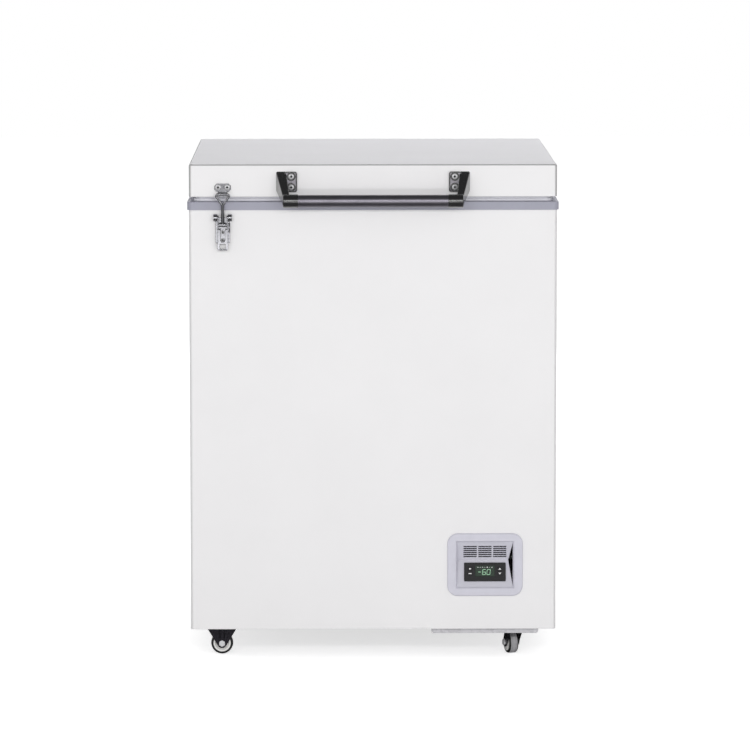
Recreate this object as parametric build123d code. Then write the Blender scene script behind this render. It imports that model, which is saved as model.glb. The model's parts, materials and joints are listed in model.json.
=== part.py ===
from build123d import *
import math
import os

os.makedirs("parts", exist_ok=True)

# Cabinet envelope
CABINET_W = 656.0
CABINET_D = 700.0
FLOOR_GAP = 54.0
BODY_H = 756.5
COLLAR_H = 14.5
GASKET_H = 9.0
LID_H = 57.5

# Sheet metal
SHEET_T = 1.2
CORNER_R = 6.0
BASE_FLANGE = 20.0
FIT = 0.3
RUN_FIT = 0.06
PRESS_FIT = 0.03
HOLE_FIT = 0.2
CUT = 5.0

# Insulation, liner and machine space
WALL_FOAM = 100.0
FLOOR_FOAM = 100.0
LINER_T = 1.0
LINER_R = 16.0
LINER_LIP = 26.0
STEP_FOAM = 80.0
MACHINE_W = 224.0
MACHINE_H = 276.0
BULKHEAD_T = 1.0

# Top collar
COLLAR_LIP = 3.0
COLLAR_T = 3.0
NECK_T = 2.0
NECK_H = 20.0

# Lid
LID_TOP_R = 3.5
LID_FLANGE = 32.0
LID_LINER_T = 1.2
LID_LINER_LAP = 4.0
PLUG_GAP = 11.7
PLUG_H = 28.0
GASKET_INSET = 8.5
GASKET_W = 18.0
GASKET_R = 14.0

# Handle
HANDLE_STANDOFF = 45.0
HANDLE_BAR_R = 11.0
SOCKET_R = 12.0
SOCKET_IN = 133.0
SOCKET_OUT = 160.0
SOCKET_BORE = 19.0
SOCKET_EDGE_R = 2.0
BAR_DROP = 4.5
PAD_IN = 135.0
PAD_W = 22.4
PAD_H = 36.2
PAD_T = 5.0
PAD_LIFT = 8.6
PAD_R = 4.0
PAD_EDGE_R = 1.25
PAD_RIM = 2.2
PAD_POCKET_H = 1.2
PAD_BOSS_R = 7.8
ARM_ROOT_W = 18.0
ARM_TIP_W = 12.0
ARM_TIP_H = 20.0
ARM_R = 3.0
PAD_SCREW_X = 145.5
PAD_SCREW_PITCH = 19.0
PAD_SINK_R = 6.7
PAD_SINK_H = 2.0

# Toggle latch
LATCH_INSET = 60.5
LATCH_DROP = 13.5
LATCH_PLATE_W = 26.0
LATCH_PLATE_H = 45.0
LATCH_PLATE_T = 1.6
LATCH_SCREW_DROPS = (26.0, 40.0)
KNUCKLE_R = 6.3
KNUCKLE_IN = 9.8
KNUCKLE_OUT = 16.3
KNUCKLE_STAND = 6.5
STUB_R = 2.0
EYE_R = 4.2
CHEEK_IN = 7.2
CHEEK_OUT = 9.4
TRUNNION_R = 3.5
TRUNNION_DROP = 13.0
TRUNNION_STAND = 5.5
TRUNNION_WALL = 1.3
TRUNNION_BULGE = 1.6
LEVER_FACE = 12.6
LEVER_T = 1.6
LEVER_TOP_DROP = 21.0
LEVER_NOTCH_W = 8.0
LEVER_NOTCH_DROP = 43.0
LEVER_LENGTH = 57.5
LEVER_TAIL_W = 19.6
LEVER_TAIL_R = 3.0
LEVER_WINDOW_W = 11.0
LEVER_WINDOW_H = 8.0
LEVER_BAR_H = 3.0
LEVER_LIP = 4.0
ROD_R = 3.0
WIRE_R = 2.0
LOOP_HALF_W = 14.2
LOOP_H = 20.5
LOOP_R = 3.0
BAIL_GAP = 0.6
KEEPER_W = 29.2
KEEPER_H = 14.4
KEEPER_T = 2.0
KEEPER_LIFT = 9.0
KEEPER_CHAMFER = 4.0
HOOK_W = 17.0
HOOK_REACH = 9.5
HOOK_LIFT = 0.6
HOOK_LIP_H = 6.5
KEEPER_SCREW_PITCH = 16.3
KEEPER_SCREW_LIFT = 1.0
STAPLE_R = 7.0
STAPLE_WIRE_R = 1.3
STAPLE_DROP = 18.0

# Hinges
HINGE_INSET = 138.0
HINGE_DEPTH = 30.0
HINGE_SETBACK = 14.0
HINGE_LIFT = 4.5
HINGE_T = 1.5
HINGE_HALF_W = 18.3
HINGE_H = 140.0
HINGE_EAR_W = 15.0
HINGE_EAR_H = 100.0
HINGE_EAR_LIFT = 12.0
HINGE_EAR_INSET = 15.0
HINGE_CHEEK_R = 10.0
ARM_EYE_R = 9.0
ARM_LUG_T = 3.0
ARM_LUG_GAP = 1.2
ARM_PLATE_T = 3.0
ARM_PLATE_MARGIN = 8.0
HINGE_PIN_R = 4.0
HINGE_HEAD_R = 5.5
HINGE_HEAD_T = 2.0
NOSE_R = 3.0
NOSE_FORWARD = 6.0
NOSE_DROP = 8.0
SPRING_R = 7.0
SPRING_WIRE_R = 1.4
SPRING_FORWARD = 5.0
SPRING_PITCH = 10.0

# Control panel
PANEL_INSET = 127.2
PANEL_LIFT = 117.1
BEZEL_W = 135.2
BEZEL_H = 113.6
BEZEL_R = 19.0
BEZEL_PROUD = 4.0
BEZEL_EDGE_R = 2.0
RECESS_W = 100.0
RECESS_H = 81.0
RECESS_EDGE = 3.0
RECESS_DEPTH = 12.0
MOUTH_TAPER = 40.0
VALLEY_LIFT = 6.8
BEZEL_WALL = 3.0
FLOOR_WALL = 2.5
WEDGE_W = 8.2
WEDGE_GAP = 1.0
SLOT_W = 23.8
SLOT_H = 2.3
SLOT_PITCH_X = 26.6
SLOT_PITCH_Z = 3.8
SLOT_COLUMNS = 3
SLOT_ROWS = 6
SLOT_LIFT = 22.85
FASCIA_W = 75.0
FASCIA_H = 33.8
FASCIA_T = 2.0
FASCIA_R = 1.6
FASCIA_DROP = 14.3
MODULE_W = 71.0
MODULE_H = 29.0
MODULE_D = 58.0
WINDOW_W = 34.7
WINDOW_H = 19.4
WINDOW_T = 1.2
WINDOW_LIFT = 1.8
WINDOW_PROUD = 0.2
KEY_W = 7.4
KEY_H = 5.0
KEY_R = 1.6
KEY_EDGE_R = 0.5
KEY_X = 26.8
KEY_LIFTS = (5.7, -2.9)
KEY_PROUD = 0.6
KEY_DEPTH = 4.8
KEY_TRAVEL = 0.6

# Compressor tray
TRAY_INSET = 30.4
TRAY_W = 193.0
TRAY_T = 1.5
TRAY_LIP = 9.8
TRAY_SETBACK = 11.0
TRAY_CORNER_R = 5.0

# Casters
WHEEL_R = 20.0
WHEEL_W = 17.0
HUB_R = 15.5
HUB_BOSS_R = 6.5
HUB_DISH_R = 12.5
HUB_DISH_T = 4.0
TYRE_EDGE_R = 2.5
AXLE_R = 4.0
AXLE_HEAD_R = 6.0
FORK_T = 2.0
FORK_GAP = 10.0
FORK_EYE_R = 8.5
FORK_TOP_W = 57.0
FORK_RIB_W = 11.0
FORK_RIB_T = 2.0
PLATE_L = 60.0
PLATE_W = 46.0
PLATE_T = 2.5
PLATE_BOLT_X = 22.0
PLATE_BOLT_Y = 17.0
RIGID_INSET = 54.5
RIGID_SETBACK = 58.0
SWIVEL_INSET = 73.6
SWIVEL_SETBACK = 43.7
SWIVEL_TRAIL = 15.0
SWIVEL_YAWS = {"front": 17.0, "rear": -35.0}
RACE_R = 17.0
RACE_H = 4.0
CROWN_R = 19.0
CROWN_T = 3.7
KING_HEAD_R = 7.0
KING_HEAD_T = 2.3
BOLT_R = 3.0
BOLT_HEAD_R = 5.0
BOLT_HEAD_T = 3.0

# Rear cover and gland
OPENING_MARGIN = 14.0
OPENING_SILL = 30.0
COVER_LAP = 8.0
LOUVRE_W = 76.0
LOUVRE_H = 5.0
LOUVRE_PITCH_X = 92.0
LOUVRE_PITCH_Z = 12.0
LOUVRE_ROWS = 12
LOUVRE_SILL = 18.0
GLAND_BORE_R = 4.5
GLAND_R = 8.0
GLAND_HEX_R = 13.0
GLAND_HEX_T = 5.0
GLAND_NOSE = 12.0
GLAND_TAIL = 9.0
GLAND_INSET_X = 30.0
GLAND_INSET_Z = 28.0

# Refrigeration
TUBE_R = 4.0
COIL_PITCH = 42.0
COIL_LIFT = 24.0
COIL_TOP_GAP = 60.0
COIL_REAR_GAP = 20.0
COIL_GAP = 10.0
COIL_BEND = 21.3
TAIL_IN_SHIFT = 55.0
TAIL_OUT_SHIFT = 15.0
TAIL_OFFSET = 9.2
TAIL_DROP = 40.0
TAIL_HOLE_R = 6.0
COMPRESSOR_INSET_X = 123.0
COMPRESSOR_INSET_Y = 190.0
COMPRESSOR_R = 84.0
COMPRESSOR_H = 175.0
COMPRESSOR_DOME = 34.0
FOOT_L = 186.0
FOOT_W = 160.0
FOOT_T = 3.0
GROMMET_R = 12.0
GROMMET_H = 12.0
GROMMET_INSET = 15.0
STUB_LENGTH = 16.0
STUB_FORWARD = 20.0
TERMINAL_W = 54.0
TERMINAL_H = 60.0
TERMINAL_REACH = 26.0
TERMINAL_R = 4.5
CONDENSER_INSET_X = 36.0
CONDENSER_W = 168.0
CONDENSER_H = 196.0
CONDENSER_D = 40.0
CONDENSER_INSET_Y = 95.0
FIN_COUNT = 24
FIN_T = 0.8
FIN_PLATE_T = 2.0
CONDENSER_TUBES = 6
SHROUD_T = 2.0
DUCT_R = 81.0
DUCT_T = 3.0
DUCT_H = 30.0
SPIDER_W = 8.0
SPIDER_T = 4.0
SPIDER_HUB_R = 30.0
BLADE_TIP_R = 77.0
BLADE_COUNT = 5
BLADE_CHORD = 34.0
BLADE_T = 2.0
BLADE_PITCH = 28.0
FAN_HUB_R = 24.0
FAN_HUB_H = 18.0
FAN_LEAD = 6.0
SHAFT_R = 4.0
SHAFT_GAP = 1.0
SHAFT_DEPTH = 20.0
MOTOR_R = 32.0
MOTOR_H = 50.0
MOTOR_EDGE_R = 3.0
DRIER_R = 10.0
DRIER_H = 110.0
LINE_BEND = 9.0
SUCTION_RISE = 24.0
DISCHARGE_RISE = 40.0
LIQUID_GAP = 8.0
LIQUID_BEND = 5.0
LIQUID_DROP = 38.0
PROBE_R = 3.0
PROBE_INSET = 78.0
PROBE_H = 140.0
PROBE_DROP = 110.0
CLIP_W = 12.0
CLIP_H = 8.0
CLIP_REACH = 9.0
CLIP_INSET = 28.0

# Screws: head radius, head height, shank radius; then shares of the head
HANDLE_SCREW = (5.0, 2.6, 2.5)
KEEPER_SCREW = (4.75, 2.4, 2.0)
SMALL_SCREW = (3.2, 1.6, 1.6)
PANEL_SCREW = (4.0, 2.2, 2.0)
SCREW_BITE = 10.0
SCREW_EDGE = 0.45
SCREW_DRIVE_R = 0.4
SCREW_DRIVE_H = 0.6

# Levels worked out from the sizes above
HALF_W = CABINET_W / 2
BASE_Z = FLOOR_GAP
COLLAR_Z0 = BASE_Z + BODY_H
COLLAR_Z1 = COLLAR_Z0 + COLLAR_H
WRAP_Z1 = COLLAR_Z1 - COLLAR_T
LID_Z0 = COLLAR_Z1 + GASKET_H
LID_Z1 = LID_Z0 + LID_H
FRONT_REACH = HANDLE_STANDOFF + SOCKET_R
FRONT_Y = (FRONT_REACH - HINGE_DEPTH - CABINET_D) / 2
REAR_Y = FRONT_Y + CABINET_D
INNER_X = HALF_W - SHEET_T
INNER_Y0 = FRONT_Y + SHEET_T
INNER_Y1 = REAR_Y - SHEET_T
PAN_Z0 = BASE_Z + SHEET_T
PAN_Z1 = PAN_Z0 + SHEET_T
MACHINE_X0 = HALF_W - MACHINE_W
MACHINE_Z1 = BASE_Z + MACHINE_H
LINER_X = HALF_W - WALL_FOAM
LINER_Y0 = FRONT_Y + WALL_FOAM
LINER_Y1 = REAR_Y - WALL_FOAM
LINER_Z0 = BASE_Z + FLOOR_FOAM
STEP_X = MACHINE_X0 - STEP_FOAM
STEP_Z = MACHINE_Z1 + STEP_FOAM
FOAM_Z1 = WRAP_Z1 - LINER_T
NECK_X = LINER_X - FIT - NECK_T
NECK_Y0 = LINER_Y0 + FIT + NECK_T
NECK_Y1 = LINER_Y1 - FIT - NECK_T
PLUG_X = NECK_X - PLUG_GAP
PLUG_Y = (NECK_Y0 + PLUG_GAP, NECK_Y1 - PLUG_GAP)
PLUG_Z = LID_Z0 - PLUG_H
BAR_Y = FRONT_Y - HANDLE_STANDOFF
BAR_Z = LID_Z0 - BAR_DROP
PAD_Z = LID_Z0 + PAD_LIFT + PAD_H / 2
LATCH_X = LATCH_INSET - HALF_W
LATCH_Z = COLLAR_Z0 - LATCH_DROP
HINGE_X = HALF_W - HINGE_INSET
HINGE_Y = REAR_Y + HINGE_SETBACK
HINGE_Z = COLLAR_Z1 + HINGE_LIFT
HINGE_FLOOR_Z = HINGE_Z + HINGE_CHEEK_R - HINGE_H
TRAY_Z0 = BASE_Z - TRAY_T
TRAY_Y = (FRONT_Y + TRAY_SETBACK, REAR_Y - TRAY_SETBACK)
TRAY_X = (HALF_W - TRAY_INSET - TRAY_W, HALF_W - TRAY_INSET)
PANEL_X = HALF_W - PANEL_INSET
PANEL_Z = BASE_Z + PANEL_LIFT
OPEN_X = (MACHINE_X0 + OPENING_MARGIN, INNER_X - OPENING_MARGIN)
OPEN_Z = (BASE_Z + OPENING_SILL, MACHINE_Z1 - OPENING_MARGIN)
COVER_X = (OPEN_X[0] - COVER_LAP, OPEN_X[1] + COVER_LAP)
COVER_Z = (OPEN_Z[0] - COVER_LAP, OPEN_Z[1] + COVER_LAP)
GLAND_X = OPEN_X[1] - GLAND_INSET_X
GLAND_Z = OPEN_Z[1] - GLAND_INSET_Z
COND_Y0 = FRONT_Y + CONDENSER_INSET_Y
COND_Y1 = COND_Y0 + CONDENSER_D
COND_X = (HALF_W - CONDENSER_INSET_X - CONDENSER_W, HALF_W - CONDENSER_INSET_X)
COND_Z1 = BASE_Z + CONDENSER_H
FAN_X = COND_X[0] + CONDENSER_W / 2
FAN_Z = BASE_Z + CONDENSER_H / 2
SHROUD_Y1 = COND_Y1 + SHROUD_T
DUCT_Y1 = SHROUD_Y1 + DUCT_H
MOTOR_Y0 = DUCT_Y1 + SPIDER_T
COMPRESSOR_X = HALF_W - COMPRESSOR_INSET_X
COMPRESSOR_Y = REAR_Y - COMPRESSOR_INSET_Y
FOOT_Z0 = BASE_Z + GROMMET_H
CAN_Z0 = FOOT_Z0 + FOOT_T
CAN_Z1 = CAN_Z0 + COMPRESSOR_H
COIL_X = LINER_X + LINER_T + FIT + TUBE_R
COIL_Y0 = LINER_Y0 - LINER_T - FIT - TUBE_R
COIL_Y1 = LINER_Y1 + LINER_T + FIT + TUBE_R
COIL_Z0 = STEP_Z + COIL_LIFT
COIL_TURNS = round((FOAM_Z1 - COIL_TOP_GAP - COIL_Z0) / COIL_PITCH)
TAIL_IN_X = COMPRESSOR_X - TAIL_IN_SHIFT
TAIL_OUT_X = COMPRESSOR_X - TAIL_OUT_SHIFT
TAIL_OUT_Y = COIL_Y1 + TAIL_OFFSET
TAIL_Z = MACHINE_Z1 - TAIL_DROP
LIQUID_X = MACHINE_X0 + LIQUID_GAP
PROBE_X = LINER_X - PROBE_INSET
RIGID_X = RIGID_INSET - HALF_W
RIGID_YS = {"front": FRONT_Y + RIGID_SETBACK, "rear": REAR_Y - RIGID_SETBACK}
SWIVEL_X = HALF_W - SWIVEL_INSET
SWIVEL_YS = {"front": FRONT_Y + SWIVEL_SETBACK, "rear": REAR_Y - SWIVEL_SETBACK}
CROWN_Z1 = TRAY_Z0 - PLATE_T - RACE_H - FIT
FRONT_OUT = Plane((0, 0, 0), x_dir=(1, 0, 0), z_dir=(0, -1, 0))
SIDE_OUT = Plane((0, 0, 0), x_dir=(0, -1, 0), z_dir=(-1, 0, 0))


def block(x, y, z):
    """Box between low and high values on each axis."""
    middle = Pos((x[0] + x[1]) / 2, (y[0] + y[1]) / 2, (z[0] + z[1]) / 2)
    return middle * Box(x[1] - x[0], y[1] - y[0], z[1] - z[0])


def front_rounded(x, y, z, radius):
    """Box whose two upright front edges are round."""
    solid = block(x, y, z)
    return fillet(solid.edges().filter_by(Axis.Z).group_by(Axis.Y)[0], radius)


def upright_rounded(x, y, z, radius):
    """Box whose four upright edges are round."""
    solid = block(x, y, z)
    return fillet(solid.edges().filter_by(Axis.Z), radius)


def rod(start, end, radius):
    """Round bar from one point to another."""
    line = Vector(*end) - Vector(*start)
    return extrude(Plane(start, z_dir=line) * Circle(radius), amount=line.length)


def tube(points, bend):
    """Refrigerant tube along straight runs joined by tangent arcs."""
    path = FilletPolyline(*points, radius=bend)
    return sweep(Plane(path @ 0, z_dir=path % 0) * Circle(TUBE_R), path=path)


def screw(spec, length):
    """Pan head screw with its head above the origin and its shank below."""
    head_r, head_h, shank_r = spec
    head = extrude(Circle(head_r), amount=head_h)
    head = fillet(head.edges().group_by(Axis.Z)[-1], head_h * SCREW_EDGE)
    drive = extrude(RegularPolygon(head_r * SCREW_DRIVE_R, 6), amount=-head_h * SCREW_DRIVE_H)
    drive = Pos(0, 0, head_h) * drive
    shank = extrude(Circle(shank_r), amount=-length)
    return head - drive + shank


def seat(point, out):
    """Plane on a face at a point, looking out of the face."""
    return Plane(point, x_dir=(1, 0, 0), z_dir=out)


def screws_and_holes(seats, spec, length):
    """Screws on their seats, and the round holes that clear them."""
    hole_r = spec[2] + HOLE_FIT
    bodies = [place.location * screw(spec, length) for place in seats]
    holes = [place.location * extrude(Circle(hole_r), amount=-length - FIT) for place in seats]
    return bodies, holes


def side_profile(points):
    """Face in the side view from pairs of standoff ahead of the cabinet front and height."""
    return SIDE_OUT * make_face(Polyline(*points, close=True))


def save(name, shape):
    """Writes one node."""
    solids = shape if isinstance(shape, list) else [shape]
    flat = [solid for item in solids for solid in item.solids()]
    export_step(Compound(children=flat) if len(flat) > 1 else flat[0], f"parts/{name}.step")


# Screw seats shared by the screws, the sheets and the foam
HANDLE_SEATS = [
    seat((side * PAD_SCREW_X, FRONT_Y - PAD_T + PAD_SINK_H, PAD_Z + step * PAD_SCREW_PITCH / 2), (0, -1, 0))
    for side in (-1, 1)
    for step in (-1, 1)
]
KEEPER_SCREW_Z = LID_Z0 + KEEPER_LIFT + KEEPER_H / 2 + KEEPER_SCREW_LIFT
KEEPER_SEATS = [
    seat((LATCH_X + side * KEEPER_SCREW_PITCH / 2, FRONT_Y - KEEPER_T, KEEPER_SCREW_Z), (0, -1, 0))
    for side in (-1, 1)
]
ARM_PLATE_Z = (LID_Z0 + ARM_PLATE_MARGIN, LID_Z1 - ARM_PLATE_MARGIN)
ARM_SEATS = [
    seat((side * HINGE_X, REAR_Y + ARM_PLATE_T, z), (0, 1, 0))
    for side in (-1, 1)
    for z in (ARM_PLATE_Z[0] + HINGE_EAR_INSET / 2, ARM_PLATE_Z[1] - HINGE_EAR_INSET / 2)
]
LATCH_SEATS = [
    seat((LATCH_X, FRONT_Y - LATCH_PLATE_T, LATCH_Z - drop), (0, -1, 0))
    for drop in LATCH_SCREW_DROPS
]
EAR_Z = (HINGE_FLOOR_Z + HINGE_EAR_LIFT, HINGE_FLOOR_Z + HINGE_EAR_LIFT + HINGE_EAR_H)
EAR_X = HINGE_HALF_W + HINGE_EAR_W / 2
EAR_SEATS = [
    seat((side * HINGE_X + ear * EAR_X, REAR_Y + HINGE_T, z), (0, 1, 0))
    for side in (-1, 1)
    for ear in (-1, 1)
    for z in (EAR_Z[0] + HINGE_EAR_INSET, EAR_Z[1] - HINGE_EAR_INSET)
]
COVER_SEATS = [
    seat((x, REAR_Y + SHEET_T, z), (0, 1, 0))
    for x in (COVER_X[0] + COVER_LAP / 2, COVER_X[1] - COVER_LAP / 2)
    for z in (COVER_Z[0] + COVER_LAP / 2, COVER_Z[1] - COVER_LAP / 2)
]
TRAY_SCREW_INSET = (TRAY_SETBACK + TRAY_T + BASE_FLANGE) / 2
TRAY_SEATS = [
    seat((x, y, TRAY_Z0), (0, 0, -1))
    for x in (TRAY_X[0] + BASE_FLANGE, TRAY_X[1] - BASE_FLANGE)
    for y in (FRONT_Y + TRAY_SCREW_INSET, REAR_Y - TRAY_SCREW_INSET)
]
HANDLE_SCREWS, HANDLE_HOLES = screws_and_holes(HANDLE_SEATS, HANDLE_SCREW, PAD_T + SCREW_BITE)
KEEPER_SCREWS, KEEPER_HOLES = screws_and_holes(KEEPER_SEATS, KEEPER_SCREW, KEEPER_T + SCREW_BITE)
ARM_SCREWS, ARM_HOLES = screws_and_holes(ARM_SEATS, PANEL_SCREW, ARM_PLATE_T + SCREW_BITE)
LATCH_SCREWS, LATCH_HOLES = screws_and_holes(LATCH_SEATS, SMALL_SCREW, LATCH_PLATE_T + SCREW_BITE)
EAR_SCREWS, EAR_HOLES = screws_and_holes(EAR_SEATS, PANEL_SCREW, HINGE_T + SCREW_BITE)
COVER_SCREWS, COVER_HOLES = screws_and_holes(COVER_SEATS, SMALL_SCREW, SCREW_BITE)
TRAY_SCREWS, TRAY_HOLES = screws_and_holes(TRAY_SEATS, SMALL_SCREW, TRAY_T + SHEET_T)


# Cabinet sheets and insulation
def bezel_opening(margin):
    """Opening in the cabinet front that the bezel's back passes."""
    half_w = RECESS_W / 2 + BEZEL_WALL + margin
    half_h = RECESS_H / 2 + BEZEL_WALL + margin
    y = (FRONT_Y - CUT, INNER_Y0 + CUT)
    return block((PANEL_X - half_w, PANEL_X + half_w), y, (PANEL_Z - half_h, PANEL_Z + half_h))


def outer_wrapper():
    skin = front_rounded((-HALF_W, HALF_W), (FRONT_Y, REAR_Y), (BASE_Z, WRAP_Z1), CORNER_R)
    hollow_z = (PAN_Z0, WRAP_Z1 + CUT)
    hollow = front_rounded((-INNER_X, INNER_X), (INNER_Y0, REAR_Y + CUT), hollow_z, CORNER_R - SHEET_T)
    inset = HALF_W - BASE_FLANGE
    floor = block((-inset, inset), (FRONT_Y + BASE_FLANGE, REAR_Y + CUT), (BASE_Z - CUT, PAN_Z0 + CUT))
    return skin - [hollow, floor, bezel_opening(HOLE_FIT), *LATCH_HOLES, *TRAY_HOLES]


def rear_panel():
    sheet = block((-INNER_X, INNER_X), (INNER_Y1, REAR_Y), (PAN_Z0, WRAP_Z1))
    inset = HALF_W - BASE_FLANGE
    flange = block((-inset, inset), (REAR_Y - BASE_FLANGE, REAR_Y), (BASE_Z, PAN_Z0))
    opening = block(OPEN_X, (INNER_Y1 - CUT, REAR_Y + CUT), OPEN_Z)
    return sheet + flange - [opening, *EAR_HOLES, *COVER_HOLES, *TRAY_HOLES]


def rear_cover():
    plate = block(COVER_X, (REAR_Y, REAR_Y + SHEET_T), COVER_Z)
    middle_x = (COVER_X[0] + COVER_X[1]) / 2
    first_z = COVER_Z[0] + LOUVRE_SILL
    slots = []
    for side in (-1, 1):
        x = middle_x + side * LOUVRE_PITCH_X / 2
        for row in range(LOUVRE_ROWS):
            z = first_z + row * LOUVRE_PITCH_Z
            slot_x = (x - LOUVRE_W / 2, x + LOUVRE_W / 2)
            slots.append(block(slot_x, (REAR_Y - CUT, REAR_Y + CUT), (z, z + LOUVRE_H)))
    gland = rod((GLAND_X, REAR_Y - CUT, GLAND_Z), (GLAND_X, REAR_Y + CUT, GLAND_Z), GLAND_R + HOLE_FIT)
    return plate - [*slots, gland, *COVER_HOLES]


def base_pan():
    pan = front_rounded((-INNER_X, MACHINE_X0), (INNER_Y0, INNER_Y1), (PAN_Z0, PAN_Z1), CORNER_R)
    return pan - [bolt_hole(point, PAN_Z1 + CUT) for point in rigid_bolts()]


def compressor_tray():
    plate = block(TRAY_X, TRAY_Y, (TRAY_Z0, BASE_Z))
    for y in (TRAY_Y[0], TRAY_Y[1] - TRAY_T):
        lip = block(TRAY_X, (y, y + TRAY_T), (BASE_Z - TRAY_LIP, BASE_Z))
        lip = fillet(lip.edges().filter_by(Axis.Y).group_by(Axis.Z)[0], TRAY_CORNER_R)
        plate = plate + lip
    return plate - [*TRAY_HOLES, *[bolt_hole(point, BASE_Z + CUT) for point in swivel_bolts()]]


def coil_tail_holes():
    """Holes that let the two coil tails down into the machine space."""
    ends = ((TAIL_IN_X, COIL_Y1), (TAIL_OUT_X, TAIL_OUT_Y))
    return [rod((x, y, MACHINE_Z1 - CUT), (x, y, STEP_Z + CUT), TAIL_HOLE_R) for x, y in ends]


def machine_bulkhead():
    wall_x = (MACHINE_X0 - BULKHEAD_T, MACHINE_X0)
    wall = block(wall_x, (INNER_Y0, INNER_Y1), (PAN_Z1, MACHINE_Z1 + BULKHEAD_T))
    roof_x = (MACHINE_X0 - BULKHEAD_T, INNER_X)
    roof = block(roof_x, (INNER_Y0, INNER_Y1), (MACHINE_Z1, MACHINE_Z1 + BULKHEAD_T))
    corner = roof.edges().filter_by(Axis.Z).group_by(Axis.Y)[0].sort_by(Axis.X)[-1:]
    return wall + fillet(corner, CORNER_R) - coil_tail_holes()


def cabinet_foam():
    y = (INNER_Y0, INNER_Y1)
    fill = front_rounded((-INNER_X, INNER_X), y, (PAN_Z1, FOAM_Z1), CORNER_R)
    machine_x = (MACHINE_X0 - BULKHEAD_T, HALF_W + CUT)
    machine = block(machine_x, (FRONT_Y - CUT, REAR_Y + CUT), (0, MACHINE_Z1 + BULKHEAD_T))
    side = LINER_T + COIL_GAP
    pocket_y = (LINER_Y0 - side, LINER_Y1 + LINER_T + COIL_REAR_GAP)
    upper_x = (-LINER_X - side, LINER_X + side)
    upper = upright_rounded(upper_x, pocket_y, (STEP_Z - LINER_T, FOAM_Z1 + CUT), LINER_R)
    lower_x = (-LINER_X - side, STEP_X + side)
    lower = upright_rounded(lower_x, pocket_y, (LINER_Z0 - LINER_T, STEP_Z + CUT), LINER_R)
    return fill - [machine, upper, lower, *coil_tail_holes(), *LATCH_HOLES, *EAR_HOLES]


def liner_shape(grow, top_z):
    """Stepped tub, grown outwards by a wall."""
    y = (LINER_Y0 - grow, LINER_Y1 + grow)
    corner_r = LINER_R + grow
    upper = upright_rounded((-LINER_X - grow, LINER_X + grow), y, (STEP_Z - grow, top_z), corner_r)
    lower = upright_rounded((-LINER_X - grow, STEP_X + grow), y, (LINER_Z0 - grow, STEP_Z + CUT), corner_r)
    return upper + lower


def inner_liner():
    tub = liner_shape(LINER_T, WRAP_Z1)
    lip_x = LINER_X + LINER_LIP
    lip_y = (LINER_Y0 - LINER_LIP, LINER_Y1 + LINER_LIP)
    lip = upright_rounded((-lip_x, lip_x), lip_y, (FOAM_Z1, WRAP_Z1), LINER_R)
    return tub + lip - liner_shape(0, WRAP_Z1 + CUT)


def top_collar():
    edge_x = HALF_W + COLLAR_LIP
    edge_y = FRONT_Y - COLLAR_LIP
    ring = front_rounded((-edge_x, edge_x), (edge_y, REAR_Y), (COLLAR_Z0, COLLAR_Z1), CORNER_R + COLLAR_LIP)
    ring = fillet(ring.edges().filter_by(Plane.XY).group_by(Axis.Z)[-1], COLLAR_T / 3)
    under_x = HALF_W + FIT
    under_z = (COLLAR_Z0 - CUT, WRAP_Z1)
    under = front_rounded((-under_x, under_x), (FRONT_Y - FIT, REAR_Y + CUT), under_z, CORNER_R)
    neck_y = (LINER_Y0 + FIT, LINER_Y1 - FIT)
    neck_z = (COLLAR_Z1 - NECK_H, COLLAR_Z1)
    neck = upright_rounded((-LINER_X + FIT, LINER_X - FIT), neck_y, neck_z, LINER_R)
    mouth_z = (COLLAR_Z0 - NECK_H, COLLAR_Z1 + CUT)
    mouth = upright_rounded((-NECK_X, NECK_X), (NECK_Y0, NECK_Y1), mouth_z, LINER_R - NECK_T)
    return ring - under + neck - mouth


# Refrigeration
def evaporator_coil():
    """Tube wound round the liner, with both tails down the back."""
    points = [(TAIL_IN_X, COIL_Y1, TAIL_Z), (TAIL_IN_X, COIL_Y1, COIL_Z0)]
    for turn in range(COIL_TURNS):
        z = COIL_Z0 + turn * COIL_PITCH
        points += [(COIL_X, COIL_Y1, z), (COIL_X, COIL_Y0, z), (-COIL_X, COIL_Y0, z), (-COIL_X, COIL_Y1, z)]
    last_z = COIL_Z0 + COIL_TURNS * COIL_PITCH - COIL_PITCH / 2
    points += [(TAIL_OUT_X, TAIL_OUT_Y, last_z), (TAIL_OUT_X, TAIL_OUT_Y, TAIL_Z)]
    return tube(points, COIL_BEND)


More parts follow.
